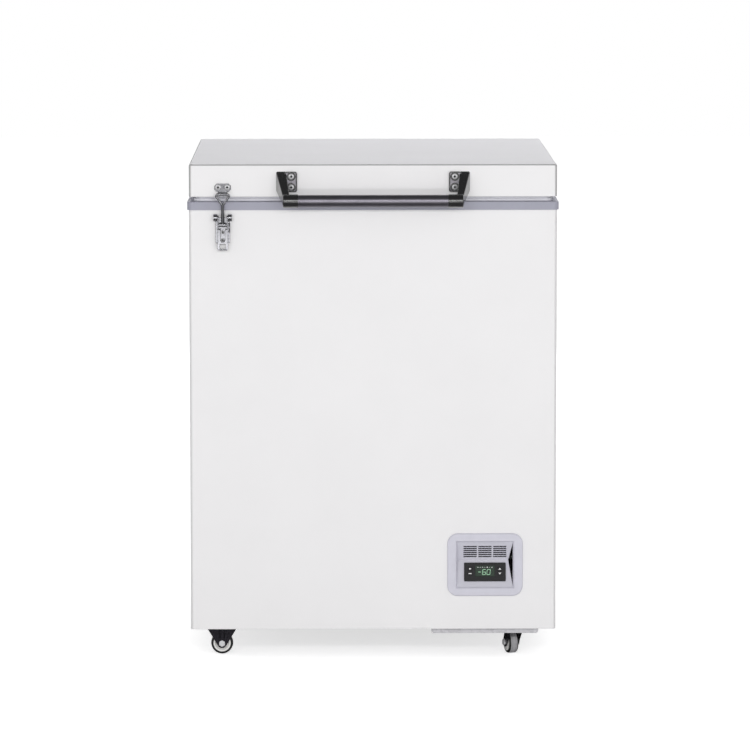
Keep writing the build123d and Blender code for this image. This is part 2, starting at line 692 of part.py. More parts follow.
def compressor():
    """Domed can on a foot plate, and the terminal cover on its right side."""
    centre = Pos(COMPRESSOR_X, COMPRESSOR_Y, 0)
    can = centre * Pos(0, 0, CAN_Z0) * extrude(Circle(COMPRESSOR_R), amount=COMPRESSOR_H)
    can = fillet(can.edges().group_by(Axis.Z)[-1], COMPRESSOR_DOME)
    foot = centre * Pos(0, 0, FOOT_Z0) * extrude(RectangleRounded(FOOT_W, FOOT_L, GROMMET_R), amount=FOOT_T)
    stub_y = COMPRESSOR_Y - STUB_FORWARD
    stubs = [
        rod((x, stub_y, CAN_Z1 - FOOT_T), (x, stub_y, CAN_Z1 + STUB_LENGTH), TUBE_R)
        for x in (TAIL_OUT_X, COMPRESSOR_X + STUB_FORWARD)
    ]
    body = can + foot + stubs
    middle_z = CAN_Z0 + COMPRESSOR_H / 2
    cover_x = (COMPRESSOR_X, COMPRESSOR_X + COMPRESSOR_R + TERMINAL_REACH)
    cover_y = (COMPRESSOR_Y - TERMINAL_W / 2, COMPRESSOR_Y + TERMINAL_W / 2)
    cover = block(cover_x, cover_y, (middle_z - TERMINAL_H / 2, middle_z + TERMINAL_H / 2))
    cover = fillet(cover.edges().filter_by(Axis.X), TERMINAL_R)
    reach = Pos(COMPRESSOR_X, COMPRESSOR_Y, CAN_Z0) * extrude(Circle(COMPRESSOR_R + FIT), amount=COMPRESSOR_H)
    return [body, cover - reach]


def compressor_grommets():
    span_x = FOOT_W / 2 - GROMMET_INSET
    span_y = FOOT_L / 2 - GROMMET_INSET
    return [
        rod((x, y, BASE_Z), (x, y, FOOT_Z0), GROMMET_R)
        for x in (COMPRESSOR_X - span_x, COMPRESSOR_X + span_x)
        for y in (COMPRESSOR_Y - span_y, COMPRESSOR_Y + span_y)
    ]


def condenser():
    """Finned block between two end plates, with two rows of tubes."""
    y = (COND_Y0, COND_Y1)
    z = (BASE_Z, COND_Z1)
    plates = [block((x, x + FIN_PLATE_T), y, z) for x in (COND_X[0], COND_X[1] - FIN_PLATE_T)]
    pitch = (CONDENSER_W - FIN_PLATE_T) / (FIN_COUNT + 1)
    fin_xs = [COND_X[0] + pitch * fin for fin in range(1, FIN_COUNT + 1)]
    fins = [block((x, x + FIN_T), y, (BASE_Z + FIN_PLATE_T, COND_Z1)) for x in fin_xs]
    step = CONDENSER_H / CONDENSER_TUBES
    tubes = []
    for tube_y in (COND_Y0 + CONDENSER_D / 4, COND_Y1 - CONDENSER_D / 4):
        for row in range(CONDENSER_TUBES):
            tube_z = BASE_Z + step * (row + 1 / 2)
            tubes.append(rod((COND_X[0], tube_y, tube_z), (COND_X[1], tube_y, tube_z), TUBE_R))
    return plates[0] + plates[1] + fins + tubes


def along_fan(y0, y1, radius):
    """Round bar on the fan's axis."""
    return rod((FAN_X, y0, FAN_Z), (FAN_X, y1, FAN_Z), radius)


def fan_shroud():
    plate = block(COND_X, (COND_Y1, SHROUD_Y1), (BASE_Z, COND_Z1))
    duct = along_fan(SHROUD_Y1, DUCT_Y1, DUCT_R + DUCT_T)
    ring = plate + duct - along_fan(COND_Y1 - CUT, DUCT_Y1 + CUT, DUCT_R)
    reach = DUCT_R + DUCT_T / 2
    arm_y = (DUCT_Y1, MOTOR_Y0)
    half = SPIDER_W / 2
    arms = block((FAN_X - reach, FAN_X + reach), arm_y, (FAN_Z - half, FAN_Z + half))
    arms = arms + block((FAN_X - half, FAN_X + half), arm_y, (FAN_Z - reach, FAN_Z + reach))
    eye = along_fan(DUCT_Y1 - CUT, MOTOR_Y0 + CUT, SHAFT_R + SHAFT_GAP)
    return ring + (arms + along_fan(*arm_y, SPIDER_HUB_R) - eye)


def fan_motor():
    can = along_fan(MOTOR_Y0, MOTOR_Y0 + MOTOR_H, MOTOR_R)
    can = fillet(can.edges().group_by(Axis.Y)[-1], MOTOR_EDGE_R)
    return can - along_fan(MOTOR_Y0 - CUT, MOTOR_Y0 + SHAFT_DEPTH + FIT, SHAFT_R + RUN_FIT)


def condenser_fan():
    hub_y = (SHROUD_Y1 + FAN_LEAD, SHROUD_Y1 + FAN_LEAD + FAN_HUB_H)
    hub = along_fan(*hub_y, FAN_HUB_R) + along_fan(hub_y[0], MOTOR_Y0 + SHAFT_DEPTH, SHAFT_R)
    middle = Pos(FAN_X, (hub_y[0] + hub_y[1]) / 2, FAN_Z)
    span = BLADE_TIP_R - FAN_HUB_R / 2
    for blade in range(BLADE_COUNT):
        turn = Rot(0, 360 / BLADE_COUNT * blade, 0)
        reach = Pos(0, 0, FAN_HUB_R / 2 + span / 2)
        hub = hub + middle * turn * reach * Rot(0, 0, BLADE_PITCH) * Box(BLADE_CHORD, BLADE_T, span)
    tip = along_fan(hub_y[0] - CUT, MOTOR_Y0 + SHAFT_DEPTH + CUT, BLADE_TIP_R)
    return hub & tip


def refrigerant_lines():
    """Drier under the coil's inlet, then suction, liquid and discharge lines."""
    stub_y = COMPRESSOR_Y - STUB_FORWARD
    stub_z = CAN_Z1 + STUB_LENGTH
    suction_z = stub_z + SUCTION_RISE
    suction = tube(
        [
            (TAIL_OUT_X, TAIL_OUT_Y, TAIL_Z),
            (TAIL_OUT_X, TAIL_OUT_Y, suction_z - LINE_BEND),
            (TAIL_OUT_X, stub_y, suction_z - LINE_BEND),
            (TAIL_OUT_X, stub_y, stub_z),
        ],
        LINE_BEND,
    )
    drier = rod((TAIL_IN_X, COIL_Y1, TAIL_Z - DRIER_H), (TAIL_IN_X, COIL_Y1, TAIL_Z), DRIER_R)
    drier = fillet(drier.edges().filter_by(GeomType.CIRCLE), DRIER_R / 2)
    drier_z = TAIL_Z - DRIER_H
    liquid_z = drier_z - LIQUID_DROP
    condenser_y = COND_Y0 + CONDENSER_D / 2
    liquid = tube(
        [
            (TAIL_IN_X, COIL_Y1, drier_z),
            (TAIL_IN_X, COIL_Y1, liquid_z),
            (LIQUID_X, COIL_Y1, liquid_z),
            (LIQUID_X, condenser_y, liquid_z),
            (COND_X[0], condenser_y, liquid_z),
        ],
        LIQUID_BEND,
    )
    discharge_x = COMPRESSOR_X + STUB_FORWARD
    discharge_z = stub_z + DISCHARGE_RISE
    discharge = tube(
        [
            (discharge_x, stub_y, stub_z),
            (discharge_x, stub_y, discharge_z),
            (discharge_x, condenser_y, discharge_z),
            (discharge_x, condenser_y, COND_Z1),
        ],
        LINE_BEND,
    )
    return [suction, drier, liquid, discharge]


def temperature_probe():
    probe_y = LINER_Y1 - CLIP_REACH + PROBE_R
    top_z = COLLAR_Z1 - PROBE_DROP
    sensor = rod((PROBE_X, probe_y, top_z - PROBE_H), (PROBE_X, probe_y, top_z), PROBE_R)
    clip_x = (PROBE_X - CLIP_W / 2, PROBE_X + CLIP_W / 2)
    for z in (top_z - CLIP_INSET, top_z - PROBE_H + CLIP_INSET):
        sensor = sensor + block(clip_x, (LINER_Y1 - CLIP_REACH, LINER_Y1), (z - CLIP_H / 2, z + CLIP_H / 2))
    return sensor


def cable_gland():
    """Gland body with its hexagon outside the cover, and the lock nut inside it."""
    face_y = REAR_Y + SHEET_T
    out = seat((GLAND_X, face_y, GLAND_Z), (0, 1, 0)).location
    back = seat((GLAND_X, REAR_Y, GLAND_Z), (0, -1, 0)).location
    body = rod((GLAND_X, REAR_Y - GLAND_TAIL, GLAND_Z), (GLAND_X, face_y + GLAND_NOSE, GLAND_Z), GLAND_R)
    body = body + out * extrude(RegularPolygon(GLAND_HEX_R, 6), amount=GLAND_HEX_T)
    reach = GLAND_TAIL + GLAND_NOSE
    bore = rod((GLAND_X, REAR_Y - reach, GLAND_Z), (GLAND_X, REAR_Y + reach, GLAND_Z), GLAND_BORE_R)
    nut = RegularPolygon(GLAND_HEX_R, 6) - Circle(GLAND_R + PRESS_FIT)
    return [body - bore, back * extrude(nut, amount=GLAND_HEX_T)]


# Control panel
PANEL_FACE = FRONT_Y - BEZEL_PROUD
EDGE_Y = PANEL_FACE + RECESS_EDGE
VALLEY_Y = PANEL_FACE + RECESS_DEPTH
VALLEY_Z = PANEL_Z + VALLEY_LIFT
FLOOR_RUN_Y = VALLEY_Y - EDGE_Y
FLOOR_RUN_Z = VALLEY_Z - (PANEL_Z - RECESS_H / 2)
FLOOR_RUN = math.hypot(FLOOR_RUN_Y, FLOOR_RUN_Z)
FASCIA_Z = PANEL_Z - FASCIA_DROP
FASCIA_Y = VALLEY_Y - FLOOR_RUN_Y * (VALLEY_Z - FASCIA_Z) / FLOOR_RUN_Z
FASCIA_OUT = (0, -FLOOR_RUN_Z / FLOOR_RUN, FLOOR_RUN_Y / FLOOR_RUN)
FASCIA = Plane((PANEL_X, FASCIA_Y, FASCIA_Z), x_dir=(1, 0, 0), z_dir=FASCIA_OUT)


def panel_prism(points, half_w):
    """Prism across the panel from pairs of y and z."""
    profile = Plane((PANEL_X - half_w, 0, 0), x_dir=(0, 1, 0), z_dir=(1, 0, 0))
    return extrude(profile * make_face(Polyline(*points, close=True)), amount=2 * half_w)


def control_bezel():
    """Rounded frame with a V shaped floor: grille slots above, controller opening below."""
    frame = FRONT_OUT * Pos(PANEL_X, PANEL_Z, -FRONT_Y) * RectangleRounded(BEZEL_W, BEZEL_H, BEZEL_R)
    frame = extrude(frame, amount=BEZEL_PROUD)
    frame = fillet(frame.faces().sort_by(Axis.Y)[0].edges(), BEZEL_EDGE_R)
    top_z = PANEL_Z + RECESS_H / 2
    low_z = PANEL_Z - RECESS_H / 2
    back = panel_prism(
        [
            (FRONT_Y, top_z + BEZEL_WALL),
            (EDGE_Y + FLOOR_WALL + BEZEL_WALL, top_z + BEZEL_WALL),
            (VALLEY_Y + FLOOR_WALL, VALLEY_Z),
            (EDGE_Y + FLOOR_WALL + BEZEL_WALL, low_z - BEZEL_WALL),
            (FRONT_Y, low_z - BEZEL_WALL),
        ],
        RECESS_W / 2 + BEZEL_WALL,
    )
    recess = panel_prism(
        [
            (PANEL_FACE - CUT, top_z),
            (EDGE_Y, top_z),
            (VALLEY_Y, VALLEY_Z),
            (EDGE_Y, low_z),
            (PANEL_FACE - CUT, low_z),
        ],
        RECESS_W / 2,
    )
    mouth = FRONT_OUT * Pos(PANEL_X, PANEL_Z, -EDGE_Y) * Rectangle(RECESS_W, RECESS_H)
    mouth = extrude(mouth, amount=RECESS_EDGE, taper=-MOUTH_TAPER)
    wedge_face = FRONT_OUT * Pos(0, 0, -VALLEY_Y - CUT) * make_face(
        Polyline(
            (PANEL_X + RECESS_W / 2, top_z - WEDGE_GAP),
            (PANEL_X + RECESS_W / 2 - WEDGE_W, VALLEY_Z),
            (PANEL_X + RECESS_W / 2, low_z + WEDGE_GAP),
            close=True,
        )
    )
    wedge = extrude(wedge_face, amount=RECESS_DEPTH + 2 * CUT)
    first_x = PANEL_X - SLOT_PITCH_X * (SLOT_COLUMNS - 1) / 2
    first_z = PANEL_Z + SLOT_LIFT - SLOT_PITCH_Z * (SLOT_ROWS - 1) / 2
    slot_y = (EDGE_Y - CUT, VALLEY_Y + FLOOR_WALL + CUT)
    slots = []
    for column in range(SLOT_COLUMNS):
        for row in range(SLOT_ROWS):
            x = first_x + column * SLOT_PITCH_X
            z = first_z + row * SLOT_PITCH_Z
            slots.append(block((x - SLOT_W / 2, x + SLOT_W / 2), slot_y, (z - SLOT_H / 2, z + SLOT_H / 2)))
    opening = Rectangle(MODULE_W + 2 * FIT, MODULE_H + 2 * FIT)
    opening = FASCIA.location * Pos(0, 0, -RECESS_DEPTH) * extrude(opening, amount=RECESS_DEPTH + FIT)
    return frame + back - [recess, mouth, wedge, opening, *slots]


def key_places():
    """Middle of each key on the fascia, by name."""
    places = {}
    for end, side in (("left", -1), ("right", 1)):
        for way, lift in zip(("up", "down"), KEY_LIFTS):
            places[f"key_{way}_{end}"] = (side * KEY_X, lift)
    return places


def controller_module():
    fascia = extrude(RectangleRounded(FASCIA_W, FASCIA_H, FASCIA_R), amount=FASCIA_T)
    body = extrude(Rectangle(MODULE_W, MODULE_H), amount=-MODULE_D)
    pocket = Pos(0, WINDOW_LIFT, FASCIA_T + WINDOW_PROUD - WINDOW_T) * extrude(
        Rectangle(WINDOW_W + 2 * HOLE_FIT, WINDOW_H + 2 * HOLE_FIT), amount=WINDOW_T
    )
    wells = [
        Pos(x, y, FASCIA_T - KEY_DEPTH) * extrude(
            RectangleRounded(KEY_W + 2 * HOLE_FIT, KEY_H + 2 * HOLE_FIT, KEY_R), amount=KEY_DEPTH
        )
        for x, y in key_places().values()
    ]
    return FASCIA.location * (fascia + body - [pocket, *wells])


def display_window():
    pane = extrude(Rectangle(WINDOW_W, WINDOW_H), amount=WINDOW_T)
    return FASCIA.location * Pos(0, WINDOW_LIFT, FASCIA_T + WINDOW_PROUD - WINDOW_T) * pane


def panel_key(place):
    """Key cap that sinks into its well."""
    floor_z = FASCIA_T - KEY_DEPTH + KEY_TRAVEL + FIT
    cap = extrude(RectangleRounded(KEY_W, KEY_H, KEY_R), amount=FASCIA_T + KEY_PROUD - floor_z)
    cap = fillet(cap.edges().group_by(Axis.Z)[-1], KEY_EDGE_R)
    return FASCIA.location * Pos(place[0], place[1], floor_z) * cap


# Lid and handle
def lid_box(shrink, z):
    """Lid block, shrunk on every side, with round corners and top edges."""
    x = HALF_W - shrink
    solid = block((-x, x), (FRONT_Y + shrink, REAR_Y - shrink), z)
    solid = fillet(solid.edges().filter_by(Axis.Z), CORNER_R)
    return fillet(solid.edges().group_by(Axis.Z)[-1], LID_TOP_R)


def lid_mouth(z):
    """Opening in the lid's underside, inside its flange."""
    x = HALF_W - LID_FLANGE
    return block((-x, x), (FRONT_Y + LID_FLANGE, REAR_Y - LID_FLANGE), z)


def lid_shell():
    pan = lid_box(0, (LID_Z0, LID_Z1))
    x = HALF_W - SHEET_T
    hollow = block((-x, x), (INNER_Y0, INNER_Y1), (LID_Z0 + SHEET_T, LID_Z1 - SHEET_T))
    hollow = fillet(hollow.edges().filter_by(Axis.Z), CORNER_R - SHEET_T)
    hollow = fillet(hollow.edges().group_by(Axis.Z)[-1], LID_TOP_R - SHEET_T)
    mouth = lid_mouth((LID_Z0 - CUT, LID_Z0 + SHEET_T + CUT))
    return pan - [hollow, mouth, *HANDLE_HOLES, *KEEPER_HOLES, *ARM_HOLES]


def lid_foam():
    fill = lid_box(SHEET_T, (LID_Z0 + SHEET_T, LID_Z1 - SHEET_T))
    mouth = lid_mouth((LID_Z0, LID_Z0 + SHEET_T))
    wall = LID_LINER_T
    plug_y = (PLUG_Y[0] + wall, PLUG_Y[1] - wall)
    plug = upright_rounded((-PLUG_X + wall, PLUG_X - wall), plug_y, (PLUG_Z + wall, LID_Z0), LINER_R)
    return fill + mouth + plug - [*HANDLE_HOLES, *KEEPER_HOLES, *ARM_HOLES]


def lid_liner():
    edge = LID_FLANGE - LID_LINER_LAP
    x = HALF_W - edge
    tray = block((-x, x), (FRONT_Y + edge, REAR_Y - edge), (LID_Z0 - LID_LINER_T, LID_Z0))
    plug = upright_rounded((-PLUG_X, PLUG_X), PLUG_Y, (PLUG_Z, LID_Z0), LINER_R)
    wall = LID_LINER_T
    hollow_x = (-PLUG_X + wall, PLUG_X - wall)
    hollow_y = (PLUG_Y[0] + wall, PLUG_Y[1] - wall)
    hollow = upright_rounded(hollow_x, hollow_y, (PLUG_Z + wall, LID_Z0 + CUT), LINER_R - wall)
    return tray + plug - hollow


def lid_gasket():
    outer_x = HALF_W - GASKET_INSET
    outer_y = (FRONT_Y + GASKET_INSET, REAR_Y - GASKET_INSET)
    z = (COLLAR_Z1 + HOLE_FIT, LID_Z0)
    ring = upright_rounded((-outer_x, outer_x), outer_y, z, GASKET_R)
    inner_x = outer_x - GASKET_W
    inner_y = (outer_y[0] + GASKET_W, outer_y[1] - GASKET_W)
    return ring - block((-inner_x, inner_x), inner_y, (z[0] - CUT, z[1] + CUT))


def handle_bracket(side):
    """Screw pad on the lid, a tapering arm and the socket that holds the bar's end."""
    pad_x = side * (PAD_IN + PAD_W / 2)
    pad = FRONT_OUT * Pos(pad_x, PAD_Z, -FRONT_Y) * RectangleRounded(PAD_W, PAD_H, PAD_R)
    pad = extrude(pad, amount=PAD_T)
    pad = fillet(pad.faces().sort_by(Axis.Y)[0].edges(), PAD_EDGE_R)
    face_y = FRONT_Y - PAD_T
    sinks = []
    bosses = []
    for z in (PAD_Z - PAD_SCREW_PITCH / 2, PAD_Z + PAD_SCREW_PITCH / 2):
        ahead = (side * PAD_SCREW_X, face_y - CUT, z)
        sinks.append(rod((side * PAD_SCREW_X, face_y + PAD_SINK_H, z), ahead, PAD_SINK_R))
        bosses.append(rod((side * PAD_SCREW_X, FRONT_Y, z), ahead, PAD_BOSS_R))
    pocket = RectangleRounded(PAD_W - 2 * PAD_RIM, PAD_H - 2 * PAD_RIM, PAD_R - PAD_RIM)
    pocket = FRONT_OUT * Pos(pad_x, PAD_Z, PAD_T - PAD_POCKET_H - FRONT_Y) * pocket
    pad = pad - (extrude(pocket, amount=PAD_POCKET_H + CUT) - bosses)
    root_x = side * (PAD_IN + PAD_W - ARM_R + ARM_ROOT_W / 2)
    root = FRONT_OUT * Pos(root_x, PAD_Z, -FRONT_Y) * RectangleRounded(ARM_ROOT_W, PAD_H, ARM_R)
    tip_x = side * (SOCKET_OUT - ARM_TIP_W / 2)
    tip = FRONT_OUT * Pos(tip_x, BAR_Z, -BAR_Y) * RectangleRounded(ARM_TIP_W, ARM_TIP_H, ARM_R)
    arm = loft([root, tip], ruled=True)
    socket = rod((side * SOCKET_IN, BAR_Y, BAR_Z), (side * SOCKET_OUT, BAR_Y, BAR_Z), SOCKET_R)
    rim = socket.edges().filter_by(GeomType.CIRCLE).sort_by(Axis.X)
    socket = fillet(rim[-1:] if side > 0 else rim[:1], SOCKET_EDGE_R)
    bore_x = (side * (SOCKET_IN - CUT), side * (SOCKET_IN + SOCKET_BORE))
    bore = rod((bore_x[0], BAR_Y, BAR_Z), (bore_x[1], BAR_Y, BAR_Z), HANDLE_BAR_R + PRESS_FIT)
    return pad + arm + socket - [bore, *sinks, *HANDLE_HOLES]


def handle_bar():
    reach = SOCKET_IN + SOCKET_BORE - FIT
    return rod((-reach, BAR_Y, BAR_Z), (reach, BAR_Y, BAR_Z), HANDLE_BAR_R)


# Toggle latch
def latch_x(low, high, mirrored=False):
    """Pair of x values beside the latch's middle line."""
    return (LATCH_X - high, LATCH_X - low) if mirrored else (LATCH_X + low, LATCH_X + high)


def across_latch(x, stand, z, radius):
    """Round bar across the latch at a standoff and height."""
    return rod((x[0], FRONT_Y - stand, z), (x[1], FRONT_Y - stand, z), radius)


def latch_base():
    half = LATCH_PLATE_W / 2
    y = (FRONT_Y - LATCH_PLATE_T, FRONT_Y)
    base = block(latch_x(-half, half), y, (LATCH_Z - LATCH_PLATE_H, LATCH_Z))
    for mirrored in (False, True):
        x = latch_x(KNUCKLE_IN, KNUCKLE_OUT, mirrored)
        web_z = (LATCH_Z - KNUCKLE_R, LATCH_Z + KNUCKLE_R)
        web = block(x, (FRONT_Y - KNUCKLE_STAND, FRONT_Y), web_z)
        base = base + web + across_latch(x, KNUCKLE_STAND, LATCH_Z, KNUCKLE_R)
        base = base - across_latch(x, KNUCKLE_STAND, LATCH_Z, STUB_R + PRESS_FIT)
    staple_x = LATCH_X + half - STAPLE_WIRE_R
    staple_z = LATCH_Z - STAPLE_DROP
    ring = Pos(staple_x, y[0], staple_z) * Rot(0, 90, 0) * Torus(STAPLE_R, STAPLE_WIRE_R)
    reach = STAPLE_R + CUT
    ahead_y = (y[0] - reach, y[1] - LATCH_PLATE_T / 2)
    ahead = block(latch_x(0, 2 * half), ahead_y, (staple_z - reach, staple_z + reach))
    return base + (ring & ahead) - LATCH_HOLES


def latch_pins():
    """Stub pins that the lever's cheeks turn on."""
    sides = [latch_x(CHEEK_IN, KNUCKLE_OUT, mirrored) for mirrored in (False, True)]
    return [across_latch(x, KNUCKLE_STAND, LATCH_Z, STUB_R) for x in sides]


def lever_cheek(mirrored):
    """Side plate of the lever, from its pivot eye down to its face."""
    trunnion_z = LATCH_Z - TRUNNION_DROP
    low_z = LATCH_Z - LEVER_NOTCH_DROP
    x = latch_x(CHEEK_IN, CHEEK_OUT, mirrored)
    plane = Plane((x[0], FRONT_Y, 0), x_dir=(0, -1, 0), z_dir=(-1, 0, 0))
    boss_r = TRUNNION_R + TRUNNION_WALL
    head = Pos(KNUCKLE_STAND, LATCH_Z) * Circle(EYE_R)
    boss = Pos(TRUNNION_STAND + TRUNNION_BULGE, trunnion_z) * Circle(boss_r)
    flat = Pos(LEVER_FACE - LEVER_T, (low_z + LATCH_Z - LEVER_TOP_DROP) / 2) * Rectangle(
        2 * LEVER_T, LEVER_NOTCH_DROP - LEVER_TOP_DROP
    )
    outline = make_hull(head.edges() + boss.edges() + flat.edges())
    cheek = extrude(plane * outline, amount=-(x[1] - x[0]))
    pivot = across_latch(x, KNUCKLE_STAND, LATCH_Z, STUB_R + RUN_FIT)
    return cheek - [pivot, across_latch(x, TRUNNION_STAND, trunnion_z, TRUNNION_R + RUN_FIT)]


def latch_lever():
    """Two cheeks joined by a notched face that widens to a finger tail."""
    top_z = LATCH_Z - LEVER_TOP_DROP
    notch_z = LATCH_Z - LEVER_NOTCH_DROP
    tail_z = LATCH_Z - LEVER_LENGTH
    half_tail = LEVER_TAIL_W / 2
    outline = Polyline(
        (LATCH_X - CHEEK_OUT, top_z),
        (LATCH_X + CHEEK_OUT, top_z),
        (LATCH_X + CHEEK_OUT, notch_z),
        (LATCH_X + half_tail, notch_z - LEVER_LIP),
        (LATCH_X + half_tail, tail_z),
        (LATCH_X - half_tail, tail_z),
        (LATCH_X - half_tail, notch_z - LEVER_LIP),
        (LATCH_X - CHEEK_OUT, notch_z),
        close=True,
    )
    notch_r = LEVER_NOTCH_W / 2
    notch = Pos(LATCH_X, notch_z + notch_r) * Circle(notch_r)
    notch = notch + Pos(LATCH_X, (top_z + notch_z) / 2 + notch_r) * Rectangle(LEVER_NOTCH_W, top_z - notch_z)
    window_z = tail_z + LEVER_BAR_H + LEVER_WINDOW_H / 2
    window = Pos(LATCH_X, window_z) * RectangleRounded(LEVER_WINDOW_W, LEVER_WINDOW_H, LEVER_T)
    face = make_face(outline)
    face = fillet(face.vertices().group_by(Axis.Y)[0], LEVER_TAIL_R) - notch - window
    plate = FRONT_OUT * Pos(0, 0, -FRONT_Y + LEVER_FACE - LEVER_T) * face
    lever = extrude(plate, amount=LEVER_T)
    lip_y = (FRONT_Y - LEVER_FACE - LEVER_LIP, FRONT_Y - LEVER_FACE + LEVER_T)
    half_lip = half_tail - LEVER_TAIL_R
    lip = block(latch_x(-half_lip, half_lip), lip_y, (tail_z, tail_z + LEVER_T))
    return lever + lip + lever_cheek(False) + lever_cheek(True)


def latch_bail():
    """Trunnion, rod and three sided wire loop that leans just clear of the keeper's lip."""
    trunnion_z = LATCH_Z - TRUNNION_DROP
    bar_stand = HOOK_REACH + BAIL_GAP + WIRE_R
    bar_z = LID_Z0 + HOOK_LIFT + HOOK_LIP_H - WIRE_R
    rise = bar_z - trunnion_z
    lean = bar_stand - TRUNNION_STAND
    reach = math.hypot(rise, lean)
    bar = rod((-CHEEK_OUT, 0, 0), (CHEEK_OUT, 0, 0), TRUNNION_R)
    corners = [(0, reach - LOOP_H), (LOOP_HALF_W, reach), (-LOOP_HALF_W, reach)]
    loop = FRONT_OUT * FilletPolyline(*corners, radius=LOOP_R, close=True)
    wire = sweep(Plane(loop @ 0, z_dir=loop % 0) * Circle(WIRE_R), path=loop)
    stem = rod((0, 0, 0), (0, 0, reach - LOOP_H + ROD_R), ROD_R)
    tilt = Rot(math.degrees(math.atan2(lean, rise)), 0, 0)
    return Pos(LATCH_X, FRONT_Y - TRUNNION_STAND, trunnion_z) * tilt * (bar + stem + wire)


def latch_keeper():
    """Chamfered plate on the lid with a hook that turns up at its lip."""
    low_z = LID_Z0 + KEEPER_LIFT
    plate_x = latch_x(-KEEPER_W / 2, KEEPER_W / 2)
    plate = block(plate_x, (FRONT_Y - KEEPER_T, FRONT_Y), (low_z, low_z + KEEPER_H))
    plate = chamfer(plate.edges().filter_by(Axis.Y), KEEPER_CHAMFER)
    hook_z = LID_Z0 + HOOK_LIFT
    half = HOOK_W / 2
    profile = [
        (0, low_z + KEEPER_CHAMFER),
        (0, hook_z),
        (HOOK_REACH, hook_z),
        (HOOK_REACH, hook_z + HOOK_LIP_H),
        (HOOK_REACH - KEEPER_T, hook_z + HOOK_LIP_H),
        (HOOK_REACH - KEEPER_T, hook_z + KEEPER_T),
        (KEEPER_T, hook_z + KEEPER_T),
        (KEEPER_T, low_z + KEEPER_CHAMFER),
    ]
    hook = Pos(LATCH_X + half, FRONT_Y, 0) * extrude(side_profile(profile), amount=HOOK_W)
    return plate + hook - KEEPER_HOLES


# Hinges
def at_hinges(shape):
    """The same piece at both hinges."""
    return [Pos(side * HINGE_X, 0, 0) * shape for side in (-1, 1)]


def hinge_housings():
    """Hat shaped channel on the cabinet's back, open at its top for the arm."""
    inner = HINGE_HALF_W - HINGE_T
    back_y = (REAR_Y + HINGE_DEPTH - HINGE_T, REAR_Y + HINGE_DEPTH)
    top_z = HINGE_Z - ARM_EYE_R
    wide = (-HINGE_HALF_W, HINGE_HALF_W)
    shell = block(wide, back_y, (HINGE_FLOOR_Z, top_z))
    shell = shell + block(wide, (REAR_Y, back_y[1]), (HINGE_FLOOR_Z, HINGE_FLOOR_Z + HINGE_T))
    for x in ((-HINGE_HALF_W, -inner), (inner, HINGE_HALF_W)):
        shell = shell + block(x, (REAR_Y, back_y[1]), (HINGE_FLOOR_Z, top_z))
        shell = shell + block(x, (REAR_Y, HINGE_Y), (top_z, HINGE_Z))
        shell = shell + rod((x[0], HINGE_Y, HINGE_Z), (x[1], HINGE_Y, HINGE_Z), HINGE_CHEEK_R)
    for ear in (-1, 1):
        ear_x = (ear * EAR_X - HINGE_EAR_W / 2, ear * EAR_X + HINGE_EAR_W / 2)
        shell = shell + block(ear_x, (REAR_Y, REAR_Y + HINGE_T), EAR_Z)
    reach = HINGE_HALF_W + CUT
    shell = shell - rod((-reach, HINGE_Y, HINGE_Z), (reach, HINGE_Y, HINGE_Z), HINGE_PIN_R + PRESS_FIT)
    return [piece - EAR_HOLES for piece in at_hinges(shell)]


def hinge_arms():
    """Plate on the lid's back with two lugs on the pin, and the nose that rides the spring."""
    lug_out = HINGE_HALF_W - HINGE_T - ARM_LUG_GAP
    plate = block((-lug_out, lug_out), (REAR_Y, REAR_Y + ARM_PLATE_T), ARM_PLATE_Z)
    foot_h = (ARM_PLATE_Z[1] - ARM_PLATE_Z[0]) / 2
    foot = Pos(REAR_Y + ARM_PLATE_T / 2, ARM_PLATE_Z[0] + foot_h / 2) * Rectangle(ARM_PLATE_T, foot_h)
    eye = Pos(HINGE_Y, HINGE_Z) * Circle(ARM_EYE_R)
    outline = make_hull(foot.edges() + eye.edges())
    arm = plate
    for x in (-lug_out, lug_out - ARM_LUG_T):
        plane = Plane((x, 0, 0), x_dir=(0, 1, 0), z_dir=(1, 0, 0))
        arm = arm + extrude(plane * outline, amount=ARM_LUG_T)
    nose_y = HINGE_Y - NOSE_FORWARD
    nose_z = HINGE_Z - NOSE_DROP
    arm = arm + rod((-lug_out, nose_y, nose_z), (lug_out, nose_y, nose_z), NOSE_R)
    reach = lug_out + CUT
    arm = arm - rod((-reach, HINGE_Y, HINGE_Z), (reach, HINGE_Y, HINGE_Z), HINGE_PIN_R + RUN_FIT)
    return [piece - ARM_HOLES for piece in at_hinges(arm)]


def hinge_pins():
    reach = HINGE_HALF_W + HINGE_HEAD_T
    pin = rod((-reach, HINGE_Y, HINGE_Z), (reach, HINGE_Y, HINGE_Z), HINGE_PIN_R)
    for x in (-reach, HINGE_HALF_W):
        pin = pin + rod((x, HINGE_Y, HINGE_Z), (x + HINGE_HEAD_T, HINGE_Y, HINGE_Z), HINGE_HEAD_R)
    return at_hinges(pin)


def hinge_springs():
    """Coil spring between the housing's floor and the arm's nose."""
    low_z = HINGE_FLOOR_Z + HINGE_T + FIT + SPRING_WIRE_R
    high_z = HINGE_Z - NOSE_DROP - NOSE_R - FIT - SPRING_WIRE_R
    coil = Helix(pitch=SPRING_PITCH, height=high_z - low_z, radius=SPRING_R)
    wire = sweep(Plane(coil @ 0, z_dir=coil % 0) * Circle(SPRING_WIRE_R), path=coil, is_frenet=True)
    return at_hinges(Pos(0, HINGE_Y - SPRING_FORWARD, low_z) * wire)


# Casters
def rigid_bolts():
    """Bolt places of the rigid casters, at the pan's underside."""
    return [
        (RIGID_X + x, y + side, PAN_Z0 - PLATE_T)
        for y in RIGID_YS.values()
        for x in (-PLATE_BOLT_X, PLATE_BOLT_X)
        for side in (-PLATE_BOLT_Y, PLATE_BOLT_Y)
    ]


